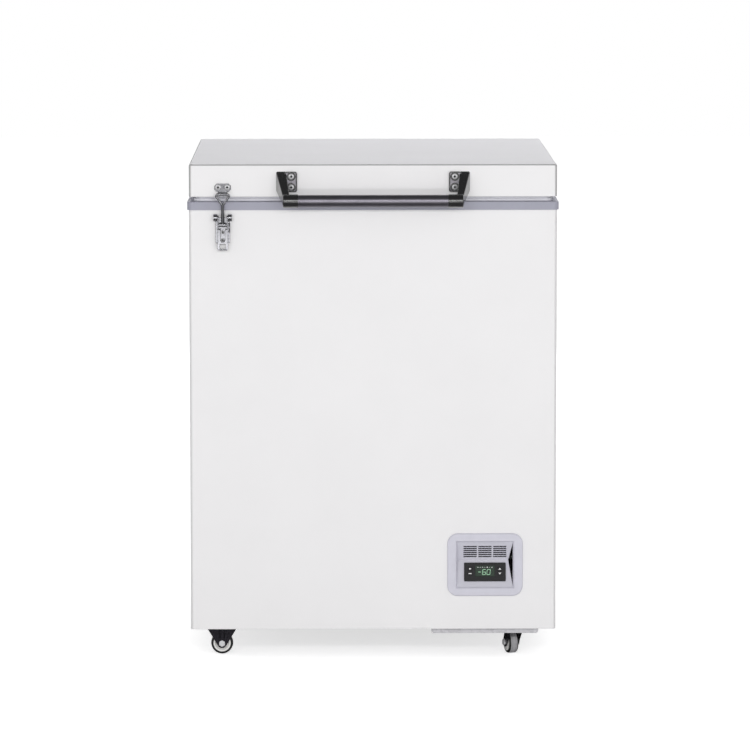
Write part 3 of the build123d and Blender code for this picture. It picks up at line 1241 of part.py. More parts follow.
def swivel_bolts():
    """Bolt places of the swivel casters, at the tray's underside."""
    return [
        (SWIVEL_X + x, y + side, TRAY_Z0 - PLATE_T)
        for y in SWIVEL_YS.values()
        for x in (-PLATE_BOLT_X, PLATE_BOLT_X)
        for side in (-PLATE_BOLT_Y, PLATE_BOLT_Y)
    ]


def bolt_hole(point, top_z):
    """Hole for a caster bolt, from under its plate up to a height."""
    x, y, z = point
    return rod((x, y, z - CUT), (x, y, top_z), BOLT_R + HOLE_FIT)


def caster_bolts():
    bolts = []
    for places, top_z in ((rigid_bolts(), PAN_Z1), (swivel_bolts(), BASE_Z)):
        for x, y, z in places:
            head = Pos(x, y, z - BOLT_HEAD_T) * extrude(RegularPolygon(BOLT_HEAD_R, 6), amount=BOLT_HEAD_T)
            bolts.append(head + rod((x, y, z), (x, y, top_z), BOLT_R))
    return bolts


def fork_leg(top_half, top_z, axle_offset):
    """Leg outline, from a straight top edge down to the round end at the axle."""
    eye = Pos(axle_offset, WHEEL_R) * Circle(FORK_EYE_R)
    edge = Pos(0, top_z - FORK_T / 2) * Rectangle(2 * top_half, FORK_T)
    return make_hull(eye.edges() + edge.edges())


def rigid_forks():
    """Pressed forks whose wheels roll along the cabinet's width."""
    forks = []
    plate_x = (RIGID_X - PLATE_L / 2, RIGID_X + PLATE_L / 2)
    plate_z = (PAN_Z0 - PLATE_T, PAN_Z0)
    rib_r = (FORK_RIB_W**2 / 4 + FORK_RIB_T**2) / (2 * FORK_RIB_T)
    for y in RIGID_YS.values():
        fork = block(plate_x, (y - PLATE_W / 2, y + PLATE_W / 2), plate_z)
        for side in (-1, 1):
            face_y = y + side * FORK_GAP
            out = Plane((RIGID_X, face_y, 0), x_dir=(side * -1, 0, 0), z_dir=(0, side, 0))
            fork = fork + extrude(out * fork_leg(FORK_TOP_W / 2, plate_z[0], 0), amount=FORK_T)
            rib_y = face_y + side * (FORK_T + FORK_RIB_T - rib_r)
            rib = rod((RIGID_X, rib_y, WHEEL_R + FORK_EYE_R), (RIGID_X, rib_y, plate_z[0]), rib_r)
            outside_y = sorted((face_y + side * FORK_T / 2, y + side * PLATE_W))
            fork = fork + (rib & block(plate_x, outside_y, (0, PAN_Z0)))
        axle_y = (y - PLATE_W, y + PLATE_W)
        fork = fork - rod((RIGID_X, axle_y[0], WHEEL_R), (RIGID_X, axle_y[1], WHEEL_R), AXLE_R + PRESS_FIT)
        forks.append(fork - [bolt_hole(point, PAN_Z1) for point in rigid_bolts()])
    return forks


def axle():
    """Hex headed axle bolt along X with its nut, wheel centre at the origin."""
    reach = FORK_GAP + FORK_T
    pin = rod((-reach - BOLT_HEAD_T, 0, 0), (reach + BOLT_HEAD_T, 0, 0), AXLE_R)
    for x in (-reach - BOLT_HEAD_T, reach):
        hexagon = Plane((x, 0, 0), z_dir=(1, 0, 0)) * RegularPolygon(AXLE_HEAD_R, 6)
        pin = pin + extrude(hexagon, amount=BOLT_HEAD_T)
    return pin


def wheel_hub():
    """Dished plastic hub along X with side bosses, wheel centre at the origin."""
    half = WHEEL_W / 2
    hub = rod((-half, 0, 0), (half, 0, 0), HUB_R)
    dish = Circle(HUB_DISH_R) - Circle(HUB_BOSS_R)
    for x, side in ((-half, 1), (half, -1)):
        hub = hub - extrude(Plane((x, 0, 0), z_dir=(side, 0, 0)) * dish, amount=HUB_DISH_T)
    boss = FORK_GAP - FIT
    hub = hub + rod((-boss, 0, 0), (boss, 0, 0), HUB_BOSS_R)
    return hub - rod((-boss - CUT, 0, 0), (boss + CUT, 0, 0), AXLE_R + RUN_FIT)


def tyre():
    """Solid rubber tyre along X, wheel centre at the origin."""
    half = WHEEL_W / 2
    ring = rod((-half, 0, 0), (half, 0, 0), WHEEL_R)
    ring = fillet(ring.edges().filter_by(GeomType.CIRCLE), TYRE_EDGE_R)
    return ring - rod((-half - CUT, 0, 0), (half + CUT, 0, 0), HUB_R + PRESS_FIT)


def wheel_places():
    """Wheel centres and turns, by caster name."""
    places = {}
    for end, y in RIGID_YS.items():
        places[f"{end}_left"] = Pos(RIGID_X, y, WHEEL_R) * Rot(0, 0, 90)
    for end, y in SWIVEL_YS.items():
        turn = Pos(SWIVEL_X, y, 0) * Rot(0, 0, SWIVEL_YAWS[end])
        places[f"{end}_right"] = turn * Pos(0, SWIVEL_TRAIL, WHEEL_R)
    return places


def swivel_plates():
    """Top plates with the bearing race and the king pin that the forks turn on."""
    plates = []
    top_z = TRAY_Z0
    low_z = TRAY_Z0 - PLATE_T
    crown_z0 = CROWN_Z1 - CROWN_T
    for y in SWIVEL_YS.values():
        plate_x = (SWIVEL_X - PLATE_L / 2, SWIVEL_X + PLATE_L / 2)
        plate = block(plate_x, (y - PLATE_W / 2, y + PLATE_W / 2), (low_z, top_z))
        plate = plate + rod((SWIVEL_X, y, low_z - RACE_H), (SWIVEL_X, y, low_z), RACE_R)
        head_z = crown_z0 - FIT
        pin = rod((SWIVEL_X, y, head_z - KING_HEAD_T), (SWIVEL_X, y, low_z), AXLE_R)
        head = rod((SWIVEL_X, y, head_z - KING_HEAD_T), (SWIVEL_X, y, head_z), KING_HEAD_R)
        plates.append(plate + pin + head - [bolt_hole(point, BASE_Z) for point in swivel_bolts()])
    return plates


def swivel_fork(end):
    """Fork that turns on the king pin, with its wheel trailing behind the swivel axis."""
    crown_z0 = CROWN_Z1 - CROWN_T
    fork = rod((0, 0, crown_z0), (0, 0, CROWN_Z1), CROWN_R)
    reach = FORK_GAP + FORK_T
    top_half = math.sqrt(CROWN_R**2 - reach**2) - FIT
    for x in (-reach, FORK_GAP):
        plane = Plane((x, 0, 0), x_dir=(0, 1, 0), z_dir=(1, 0, 0))
        fork = fork + extrude(plane * fork_leg(top_half, CROWN_Z1, SWIVEL_TRAIL), amount=FORK_T)
    fork = fork - rod((0, 0, crown_z0 - CUT), (0, 0, CROWN_Z1 + CUT), AXLE_R + RUN_FIT)
    axle_x = reach + CUT
    hole = rod((-axle_x, SWIVEL_TRAIL, WHEEL_R), (axle_x, SWIVEL_TRAIL, WHEEL_R), AXLE_R + PRESS_FIT)
    return Pos(SWIVEL_X, SWIVEL_YS[end], 0) * Rot(0, 0, SWIVEL_YAWS[end]) * (fork - hole)


# Write every node
save("outer_wrapper", outer_wrapper())
save("rear_panel", rear_panel())
save("rear_cover", rear_cover())
save("base_pan", base_pan())
save("compressor_tray", compressor_tray())
save("machine_bulkhead", machine_bulkhead())
save("cabinet_foam", cabinet_foam())
save("inner_liner", inner_liner())
save("top_collar", top_collar())
save("evaporator_coil", evaporator_coil())
save("compressor", compressor())
save("compressor_grommets", compressor_grommets())
save("condenser", condenser())
save("fan_shroud", fan_shroud())
save("fan_motor", fan_motor())
save("condenser_fan", condenser_fan())
save("refrigerant_lines", refrigerant_lines())
save("temperature_probe", temperature_probe())
save("cable_gland", cable_gland())
save("control_bezel", control_bezel())
save("controller_module", controller_module())
save("display_window", display_window())
for key_name, key_place in key_places().items():
    save(key_name, panel_key(key_place))
save("lid_shell", lid_shell())
save("lid_foam", lid_foam())
save("lid_liner", lid_liner())
save("lid_gasket", lid_gasket())
save("handle_bracket_left", handle_bracket(-1))
save("handle_bracket_right", handle_bracket(1))
save("handle_bar", handle_bar())
save("latch_keeper", latch_keeper())
save("latch_base", latch_base())
save("latch_pins", latch_pins())
save("latch_lever", latch_lever())
save("latch_bail", latch_bail())
save("hinge_housings", hinge_housings())
save("hinge_arms", hinge_arms())
save("hinge_pins", hinge_pins())
save("hinge_springs", hinge_springs())
save("cabinet_screws", LATCH_SCREWS + EAR_SCREWS + COVER_SCREWS + TRAY_SCREWS)
save("lid_screws", HANDLE_SCREWS + KEEPER_SCREWS + ARM_SCREWS)
save("caster_bolts", caster_bolts())
save("rigid_forks", rigid_forks())
save("swivel_plates", swivel_plates())
places = wheel_places()
save("rigid_axles", [places[f"{end}_left"] * axle() for end in RIGID_YS])
for end in SWIVEL_YS:
    save(f"swivel_fork_{end}", swivel_fork(end))
    save(f"swivel_axle_{end}", places[f"{end}_right"] * axle())
for caster, place in places.items():
    save(f"hub_{caster}", place * wheel_hub())
    save(f"tyre_{caster}", place * tyre())
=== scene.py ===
"""Dresses the chest freezer's frame: finishes, fine pieces, studio and camera."""

import json
import logging
import math
from collections.abc import Callable
from dataclasses import dataclass, field, replace
from enum import Enum

import bmesh
import bpy
from mathutils import Matrix, Vector


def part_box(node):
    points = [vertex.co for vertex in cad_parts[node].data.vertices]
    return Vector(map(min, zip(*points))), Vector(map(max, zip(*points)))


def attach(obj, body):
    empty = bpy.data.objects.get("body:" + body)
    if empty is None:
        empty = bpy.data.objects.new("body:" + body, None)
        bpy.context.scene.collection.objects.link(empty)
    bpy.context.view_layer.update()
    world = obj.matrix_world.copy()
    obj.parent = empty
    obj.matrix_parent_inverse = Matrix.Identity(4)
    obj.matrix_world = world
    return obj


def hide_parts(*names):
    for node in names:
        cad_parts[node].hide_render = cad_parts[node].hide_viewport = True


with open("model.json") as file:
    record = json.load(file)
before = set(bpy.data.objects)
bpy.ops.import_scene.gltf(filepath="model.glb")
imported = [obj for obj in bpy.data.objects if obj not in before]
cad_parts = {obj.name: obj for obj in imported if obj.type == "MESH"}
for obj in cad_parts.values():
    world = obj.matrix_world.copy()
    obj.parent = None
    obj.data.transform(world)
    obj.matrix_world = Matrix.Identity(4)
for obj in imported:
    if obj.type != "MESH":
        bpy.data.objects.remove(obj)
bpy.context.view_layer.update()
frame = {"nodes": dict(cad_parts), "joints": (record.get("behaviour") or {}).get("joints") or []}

MM = 0.001
LOG = logging.getLogger("freezer")

# Metres within which corners merge, and degrees up to which edges are shaded soft.
MERGE = 1e-7
MERGE_CAD = 1e-6
SOFT_ANGLE = 50.0

Place = tuple[float, float, float]
Colour = tuple[float, float, float]
Shade = tuple[float, float, float, float]
Pair = tuple[float, float]
Socket = bpy.types.NodeSocket
BMesh = bmesh.types.BMesh
Fill = Callable[[BMesh], None]


class Pattern(Enum):
    """Grain that a finish shows close up."""

    PEEL = "orange peel of sprayed paint"
    MOULDED = "fine spark grain of a moulding"
    BRUSHED = "lines of a brushed or drawn metal"
    SPANGLE = "crystal flakes of a zinc coat"
    RUBBER = "soft matt skin with dust"
    CELLS = "open cells of a foam"


def linear(colour: Colour, gain: float = 1.0) -> Shade:
    """Turns an 8 bit screen colour into a shader colour by the sRGB curve.

    Args:
        colour: Red, green and blue from 0 to 255.
        gain: Factor on the linear values.

    Returns:
        Linear red, green, blue and a full alpha.
    """
    channels = []
    for value in colour:
        share = value / 255
        bright = ((share + 0.055) / 1.055) ** 2.4 if share > 0.04045 else share / 12.92
        channels.append(min(bright * gain, 1.0))
    return (*channels, 1.0)


def grey(level: float) -> Shade:
    """Neutral shader colour of a linear level."""
    return (level, level, level, 1.0)


class Sheet:
    """Short way to fill a node tree."""

    def __init__(self, tree: bpy.types.NodeTree) -> None:
        """Keeps the tree that is filled."""
        self.tree = tree

    def add(self, kind: str, inputs: dict | None = None, **settings: object) -> bpy.types.Node:
        """Adds a node.

        Args:
            kind: Blender's type name of the node.
            inputs: Socket name to a constant or to the socket that feeds it.
            settings: Properties of the node, set before its sockets.

        Returns:
            The new node.
        """
        node = self.tree.nodes.new(kind)
        for name, value in settings.items():
            setattr(node, name, value)
        for name, value in (inputs or {}).items():
            socket = node.inputs[name]
            if isinstance(value, Socket):
                self.tree.links.new(value, socket)
            else:
                socket.default_value = value
        return node

    @classmethod
    def blank(cls, owner: bpy.types.Material | bpy.types.World) -> "Sheet":
        """Empties the node tree of a material or world.

        Args:
            owner: Material or world.

        Returns:
            Sheet on its tree.
        """
        owner.use_nodes = True
        owner.node_tree.nodes.clear()
        return cls(owner.node_tree)

    def out(self, kind: str, inputs: dict | None = None, **settings: object) -> Socket:
        """Adds a node and gives its first output."""
        return self.add(kind, inputs, **settings).outputs[0]

    def calc(self, operation: str, *values: object) -> Socket:
        """Result of an operation on constants or sockets."""
        return self.out("ShaderNodeMath", dict(enumerate(values)), operation=operation)

    def axes(self, vector: Socket) -> bpy.types.NodeOutputs:
        """X, Y and Z of a vector."""
        return self.add("ShaderNodeSeparateXYZ", {"Vector": vector}).outputs

    def coordinate(self, kind: str) -> Socket:
        """Texture coordinate of a kind."""
        return self.add("ShaderNodeTexCoord").outputs[kind]

    def noise(self, place: Socket, size: float, detail: float = 2.0) -> Socket:
        """Soft noise whose patches are about size metres wide."""
        inputs = {"Vector": place, "Scale": 1 / size, "Detail": detail}
        return self.add("ShaderNodeTexNoise", inputs).outputs["Fac"]

    def span(self, value: Socket, source: Pair, target: Pair = (0.0, 1.0)) -> Socket:
        """Maps one range of numbers to another, clamped at its ends.

        Args:
            value: Number that is mapped.
            source: Range that it comes from.
            target: Range that it goes to.

        Returns:
            Socket with the mapped number.
        """
        names = ("Value", "From Min", "From Max", "To Min", "To Max")
        inputs = dict(zip(names, (value, *source, *target)))
        return self.add("ShaderNodeMapRange", inputs).outputs["Result"]

    def mix(self, share: Socket, low: object, high: object) -> Socket:
        """Blends two colours, given as constants or sockets."""
        return self.add("ShaderNodeMix", {0: share, 6: low, 7: high}, data_type="RGBA").outputs[2]


BEVEL_SAMPLES = 6
LEAST_ROUGHNESS = 0.02
COAT_ROUGHNESS = 0.12
DUST = (150, 144, 134)
POCKET_SPAN = 0.3 * MM
# Range of noise that a grain uses, and the size, range and shares of the noise that breaks up the edges'
# painted highlights, painted shade lines and wear.
GRAIN_RANGE = (0.25, 0.75)
EDGE_NOISE_SIZE = 6 * MM
EDGE_NOISE_RANGE = (0.3, 0.7)
EDGE_NOISE_SHARE = (0.45, 1.0)
# Cosines between which a mask goes from 0 to 1: of an edge's turn, or of the normal to an axis.
EDGE_TURN = (0.99, 0.80)
FOLD_TURN = (0.985, 0.85)
FRONT_TURN = (-0.9, -0.95)
LEAN_TURN = (0.08, 0.15)


@dataclass(frozen=True)
class Finish:
    """Surface of one material: colour, gloss, grain, patches, worn edges, and painted light and shade.

    Lengths are in millimetres, and a tone is a factor on the colour.
    """

    name: str
    colour: Colour
    pattern: Pattern
    roughness: float
    metallic: float = 0.0
    grain: float = 0.9
    relief: float = 0.08
    mottle: float = 0.025
    patch: float = 70.0
    gloss_swing: float = 0.04
    edge_radius: float = 0.5
    # Tone on edges: above 1 a painted edge highlight, below 1 a painted shade line, with some wear.
    edge_light_and_wear_tone: float = 1.0
    # Tone on rounded folds: painted shade.
    fold_shade_tone: float = 1.0
    pocket_y: float = 0.0
    # Tone on the pockets' floors: a painted sheen.
    pocket_sheen_tone: float = 1.0
    # Tone on faces that lean back: painted shade.
    slope_shade_tone: float = 1.0
    coat: float = 0.0
    specular: float = 0.5
    stretch: Place = (1.0, 1.0, 1.0)
    dust: float = 0.0
    dust_top: float = 250.0
    glow: float = 0.0

    def height(self, sheet: Sheet, place: Socket) -> Socket:
        """Grain of the pattern as a height.

        Args:
            sheet: Tree that is filled.
            place: Object coordinates.

        Returns:
            Socket with the height from 0 to 1.
        """
        if self.pattern in (Pattern.SPANGLE, Pattern.CELLS):
            cells = sheet.add("ShaderNodeTexVoronoi", {"Vector": place, "Scale": 1 / (self.grain * MM)})
            if self.pattern is Pattern.CELLS:
                return cells.outputs["Distance"]
            return sheet.out("ShaderNodeRGBToBW", {"Color": cells.outputs["Color"]})
        detail = {Pattern.PEEL: 1.0, Pattern.BRUSHED: 4.0}.get(self.pattern, 3.0)
        if self.pattern is Pattern.BRUSHED:
            place = sheet.out("ShaderNodeMapping", {"Vector": place, "Scale": self.stretch})
        return sheet.noise(place, self.grain * MM, detail)

    def tint(self, sheet: Sheet, place: Socket, height: Socket) -> Socket:
        """Colour with its patches, painted light and shade, worn edges and dust.

        Args:
            sheet: Tree that is filled.
            place: Object coordinates.
            height: Grain of the pattern.

        Returns:
            Socket with the base colour.
        """
        flakes = self.pattern in (Pattern.SPANGLE, Pattern.BRUSHED)
        patches = height if flakes else sheet.noise(place, self.patch * MM, detail=3.0)
        dark = linear(self.colour, 1 - self.mottle)
        light = linear(self.colour, 1 + self.mottle)
        colour = sheet.mix(sheet.span(patches, GRAIN_RANGE), dark, light)
        # Painted light and shade: edge highlights and shade lines with wear, shade on folds and slopes, a
        # sheen in pockets.
        masks = (
            (self.edge_light_and_wear_tone, self.edge_light_and_wear_mask),
            (self.fold_shade_tone, self.fold_shade_mask),
            (self.pocket_sheen_tone, self.pocket_sheen_mask),
            (self.slope_shade_tone, self.slope_shade_mask),
        )
        for tone, mask in masks:
            if tone != 1.0:
                colour = sheet.mix(mask(sheet, place), colour, linear(self.colour, tone))
        if self.dust > 0:
            low = sheet.span(sheet.axes(place)["Z"], (0.0, self.dust_top * MM), (self.dust, 0.0))
            colour = sheet.mix(low, colour, linear(DUST))
        return colour

    def edge_light_and_wear_mask(self, sheet: Sheet, place: Socket) -> Socket:
        """Mask that is 1 on edges, broken up by noise; there the colour takes painted highlights or painted
        shade lines, and wear.

        Args:
            sheet: Tree that is filled.
            place: Object coordinates.

        Returns:
            Socket with the mask.
        """
        soft = sheet.out("ShaderNodeBevel", {"Radius": 2 * self.edge_radius * MM}, samples=BEVEL_SAMPLES)
        sharp = sheet.add("ShaderNodeNewGeometry").outputs["Normal"]
        facing = sheet.add("ShaderNodeVectorMath", {0: soft, 1: sharp}, operation="DOT_PRODUCT")
        edge = sheet.span(facing.outputs["Value"], EDGE_TURN)
        return sheet.calc("MULTIPLY", edge, sheet.span(sheet.noise(place, EDGE_NOISE_SIZE), EDGE_NOISE_RANGE, EDGE_NOISE_SHARE))

    def fold_shade_mask(self, sheet: Sheet, _place: Socket) -> Socket:
        """Mask that is 1 on the rounded folds between a sheet's flat faces, where shade is painted.

        Args:
            sheet: Tree that is filled.
            _place: Object coordinates, not needed here.

        Returns:
            Socket with the mask.
        """
        inputs = {0: sheet.coordinate("Normal")}
        parts = sheet.axes(sheet.out("ShaderNodeVectorMath", inputs, operation="ABSOLUTE"))
        level = sheet.calc("MAXIMUM", parts["X"], parts["Y"])
        return sheet.span(sheet.calc("MAXIMUM", level, parts["Z"]), FOLD_TURN)

    def pocket_sheen_mask(self, sheet: Sheet, place: Socket) -> Socket:
        """Mask that is 1 on faces to the front at the pockets' depth, where a sheen is painted.

        Args:
            sheet: Tree that is filled.
            place: Object coordinates.

        Returns:
            Socket with the mask.
        """
        level = sheet.calc("COMPARE", sheet.axes(place)["Y"], self.pocket_y * MM, POCKET_SPAN)
        front = sheet.span(sheet.axes(sheet.coordinate("Normal"))["Y"], FRONT_TURN)
        return sheet.calc("MULTIPLY", level, front)

    def slope_shade_mask(self, sheet: Sheet, _place: Socket) -> Socket:
        """Mask that is 1 on faces to the front that lean back a little, where shade is painted."""
        parts = sheet.axes(sheet.coordinate("Normal"))
        return sheet.calc("MULTIPLY", sheet.span(parts["Z"], LEAN_TURN), sheet.span(parts["Y"], FRONT_TURN))

    def build(self) -> bpy.types.Material:
        """Makes the node material.

        Returns:
            The material.
        """
        material = bpy.data.materials.new(self.name)
        sheet = Sheet.blank(material)
        place = sheet.coordinate("Object")
        height = self.height(sheet, place)
        relief = {
            "Strength": self.relief,
            "Distance": self.grain * MM,
            "Height": height,
            "Normal": sheet.out("ShaderNodeBevel", {"Radius": self.edge_radius * MM}, samples=BEVEL_SAMPLES),
        }
        gloss = (max(self.roughness - self.gloss_swing, LEAST_ROUGHNESS), self.roughness + self.gloss_swing)
        colour = self.tint(sheet, place, height)
        inputs = {
            "Base Color": colour,
            "Metallic": self.metallic,
            "Roughness": sheet.span(height, GRAIN_RANGE, gloss),
            "Normal": sheet.out("ShaderNodeBump", relief),
            "Coat Weight": self.coat,
            "Coat Roughness": COAT_ROUGHNESS,
            "Specular IOR Level": self.specular,
        }
        if self.glow > 0:
            inputs["Emission Color"] = colour
            inputs["Emission Strength"] = self.glow
        sheet.add("ShaderNodeOutputMaterial", {"Surface": sheet.out("ShaderNodeBsdfPrincipled", inputs)})
        return material


# Edges and rounded folds of the white paint are darkened: painted shade lines.
WHITE_PAINT = Finish(
    "white_paint", (240, 239, 240), Pattern.PEEL, 0.46, grain=1.6, relief=0.05, mottle=0.012,
    patch=120, edge_radius=0.8, edge_light_and_wear_tone=0.60, fold_shade_tone=0.86, specular=0.35, dust=0.02,
    dust_top=160,
)
# The lid's rounded folds are darker still: painted shade along the lid's front top edge.
LID_PAINT = replace(WHITE_PAINT, name="lid_paint", fold_shade_tone=0.5)
# Edges of the collar are lightened: painted highlights.
COLLAR_GREY = Finish(
    "collar_grey", (160, 160, 174), Pattern.MOULDED, 0.45, grain=0.7, relief=0.12, mottle=0.04,
    patch=40, edge_light_and_wear_tone=1.18,
)
GASKET = Finish(
    "gasket_rubber", (226, 226, 232), Pattern.RUBBER, 0.55, grain=0.8, relief=0.1, mottle=0.05,
    patch=25, edge_radius=0.3,
)
GALVANISED = Finish(
    "galvanised", (204, 203, 207), Pattern.SPANGLE, 0.42, metallic=0.3, grain=5, relief=0.03,
    mottle=0.07, edge_light_and_wear_tone=0.75,
)
LINER_STEEL = Finish(
    "liner_steel", (200, 201, 204), Pattern.BRUSHED, 0.32, metallic=0.9, grain=1.2, relief=0.04,
    mottle=0.06, stretch=(0.02, 0.02, 1.0),
)
FOAM = Finish(
    "foam", (224, 205, 150), Pattern.CELLS, 0.9, grain=1.2, relief=0.5, mottle=0.06,
)
LID_LINER = Finish(
    "lid_liner_white", (232, 232, 230), Pattern.MOULDED, 0.42, grain=1.0, relief=0.07, mottle=0.015,
    patch=90,
)
# Lighter edges are painted highlights with wear; the pockets' floors carry a painted grey sheen.
BRACKET_BLACK = Finish(
    "bracket_black", (17, 16, 18), Pattern.MOULDED, 0.24, grain=0.5, relief=0.14, mottle=0.12,
    patch=12, edge_radius=0.9, edge_light_and_wear_tone=2.6, coat=1.0, specular=0.7, pocket_y=-340.3,
    pocket_sheen_tone=48.0,
)
BAR_DARK = Finish(
    "bar_dark", (122, 119, 127), Pattern.PEEL, 0.36, metallic=1.0, grain=0.6, relief=0.04, mottle=0.1,
    patch=30,
)
# Edges of the latch are nearly black: painted shade lines.
LATCH_STEEL = Finish(
    "latch_steel", (146, 146, 150), Pattern.BRUSHED, 0.14, metallic=1.0, grain=0.6, relief=0.04,
    mottle=0.08, stretch=(1.0, 1.0, 0.08), edge_radius=1.0, edge_light_and_wear_tone=0.12,
)
# Edges of the screw heads are darkened: a painted shadow ring at the rim.
SCREW_ZINC = Finish(
    "screw_zinc", (226, 226, 228), Pattern.BRUSHED, 0.36, metallic=0.4, grain=0.5, relief=0.04,
    mottle=0.06, edge_radius=0.6, edge_light_and_wear_tone=0.2,
)
# Dark finish of the cross recess's floor and walls: painted shade in the recess.
DRIVE_SHADE = Finish(
    "screw_drive_dark", (34, 34, 36), Pattern.BRUSHED, 0.7, grain=0.3, relief=0.05, mottle=0.1,
    edge_radius=0.1, specular=0.1,
)
# Faces that lean back are darkened, painted shade in the recess; edges carry a painted shade line.
BEZEL_SILVER = Finish(
    "bezel_silver", (209, 208, 219), Pattern.MOULDED, 0.45, metallic=0.1, grain=0.5, relief=0.1,
    mottle=0.03, patch=18, edge_radius=0.3, edge_light_and_wear_tone=0.8, slope_shade_tone=0.78,
)
CONTROLLER_BLACK = Finish(
    "controller_black", (22, 22, 24), Pattern.MOULDED, 0.42, grain=0.4, relief=0.08, mottle=0.1,
    patch=8, edge_radius=0.3, edge_light_and_wear_tone=2.0, specular=0.22,
)
DISPLAY_GLASS = Finish(
    "display_glass", (32, 50, 37), Pattern.PEEL, 0.22, grain=2.0, relief=0.01, mottle=0.3,
    patch=5, edge_radius=0.2, specular=0.25,
)
DISPLAY_LIT = Finish(
    "display_lit", (150, 196, 160), Pattern.PEEL, 0.4, grain=0.6, relief=0.01, mottle=0.08,
    patch=2, edge_radius=0.05, glow=0.3,
)
LEGEND_WHITE = Finish(
    "legend_white", (226, 226, 226), Pattern.MOULDED, 0.5, grain=0.4, relief=0.03, mottle=0.05,
    patch=2, edge_radius=0.05,
)
KEY_BLACK = Finish(
    "key_black", (26, 26, 28), Pattern.RUBBER, 0.45, grain=0.4, relief=0.1, mottle=0.1, patch=4,
    edge_radius=0.3, edge_light_and_wear_tone=2.4, specular=0.25,
)
# Lighter edges are painted highlights, with wear.
FORK_STEEL = Finish(
    "fork_steel", (54, 52, 58), Pattern.BRUSHED, 0.26, metallic=0.9, grain=1.0, relief=0.08,
    mottle=0.15, stretch=(1.0, 1.0, 0.2), edge_radius=0.6, edge_light_and_wear_tone=2.2,
)
HUB_WHITE = Finish(
    "hub_white", (240, 239, 237), Pattern.MOULDED, 0.4, grain=0.6, relief=0.06, mottle=0.03,
    patch=8, edge_light_and_wear_tone=0.9,
)
TYRE_BLACK = Finish(
    "tyre_black", (20, 20, 21), Pattern.RUBBER, 0.55, grain=0.8, relief=0.2, mottle=0.25,
    patch=5, edge_light_and_wear_tone=1.8,
)
# Grey tread band: painted light on the tread facing the lamps, and worn rubber.
TREAD_LIT_AND_WORN = Finish(
    "tread_grey", (168, 167, 170), Pattern.RUBBER, 0.6, grain=0.9, relief=0.2, mottle=0.16,
    patch=6, edge_radius=0.3, edge_light_and_wear_tone=0.5,
)
COMPRESSOR_BLACK = Finish(
    "compressor_black", (32, 32, 34), Pattern.PEEL, 0.45, grain=1.4, relief=0.15, mottle=0.1,
)
COPPER = Finish(
    "copper", (196, 122, 86), Pattern.BRUSHED, 0.3, metallic=1.0, grain=1.5, relief=0.05, mottle=0.12,
)
FIN_ALUMINIUM = Finish(
    "aluminium_fin", (196, 198, 200), Pattern.BRUSHED, 0.38, metallic=1.0, grain=1.0, relief=0.06,
    mottle=0.08, stretch=(1.0, 1.0, 0.1),
)
FAN_PLASTIC = Finish(
    "fan_plastic", (58, 59, 62), Pattern.MOULDED, 0.45, grain=0.7, relief=0.1, mottle=0.08,
)
GROMMET = Finish(
    "grommet_rubber", (28, 28, 28), Pattern.RUBBER, 0.7, grain=0.7, relief=0.2, mottle=0.15,
)


class Paintbox:
    """Makes each finish's material once."""

    def __init__(self) -> None:
        """Starts with no material made."""
        self.made: dict[str, bpy.types.Material] = {}

    def material(self, finish: Finish) -> bpy.types.Material:
        """Material of a finish, made when it is first asked for.

        Args:
            finish: Surface.

        Returns:
            Its material.
        """
        if finish.name not in self.made:
            self.made[finish.name] = finish.build()
        return self.made[finish.name]

    def coat(self, finish: Finish, *nodes: str) -> None:
        """Gives CAD nodes a finish in place of their plain colour.

        Args:
            finish: Surface that they get.
            nodes: Names of the nodes.
        """
        for name in nodes:
            slots = frame["nodes"][name].data.materials
            slots.clear()
            slots.append(self.material(finish))


PAINTBOX = Paintbox()


def new_object(name: str, data: bpy.types.ID) -> bpy.types.Object:
    """Makes an object at the origin and links it to the scene.

    Args:
        name: Name of the object.
        data: Mesh, curve, lamp or camera that it holds.

    Returns:
        The object.
    """
    made = bpy.data.objects.new(name, data)
    bpy.context.scene.collection.objects.link(made)
    return made


def mesh_from(name: str, fill: Fill) -> bpy.types.Mesh:
    """Makes a mesh with bmesh, its doubles merged and its faces turned outwards.

    Args:
        name: Name of the mesh.
        fill: Function that adds the geometry.

    Returns:
        The mesh.
    """
    work = bmesh.new()
    fill(work)
    bmesh.ops.remove_doubles(work, verts=work.verts, dist=MERGE)
    bmesh.ops.recalc_face_normals(work, faces=work.faces)
    mesh = bpy.data.meshes.new(name)
    work.to_mesh(mesh)
    work.free()
    return mesh


def make_piece(name: str, fill: Fill, *finishes: Finish) -> bpy.types.Object:
    """Makes an object at the origin.

    Args:
        name: Name of the object and its mesh.
        fill: Function that adds the geometry.
        finishes: Surfaces, in the order of the material slots.

    Returns:
        The object.
    """
    piece = new_object(name, mesh_from(name, fill))
    for finish in finishes:
        piece.data.materials.append(PAINTBOX.material(finish))
    return piece


def loft(work: BMesh, low: list[Vector], high: list[Vector]) -> list[bmesh.types.BMFace]:
    """Adds a closed shape between two outlines of equal count.

    Args:
        work: Mesh that is filled.
        low: Corners of the lower end, counter-clockwise as seen from the upper.
        high: Corners of the upper end.

    Returns:
        The new faces.
    """
    rings = [[work.verts.new(corner) for corner in ring] for ring in (low, high)]
    faces = [work.faces.new(rings[0][::-1]), work.faces.new(rings[1])]
    for index in range(len(low)):
        follow = (index + 1) % len(low)
        corners = (rings[0][index], rings[0][follow], rings[1][follow], rings[1][index])
        faces.append(work.faces.new(corners))
    return faces


def settle(piece: bpy.types.Object) -> bpy.types.Mesh:
    """Evaluates an object's modifiers into a plain mesh and removes them.

    Args:
        piece: Object with modifiers.

    Returns:
        The plain mesh, which the object now holds.
    """
    bpy.context.view_layer.update()
    graph = bpy.context.evaluated_depsgraph_get()
    mesh = bpy.data.meshes.new_from_object(piece.evaluated_get(graph))
    mesh.name = piece.name
    piece.modifiers.clear()
    piece.data = mesh
    return mesh


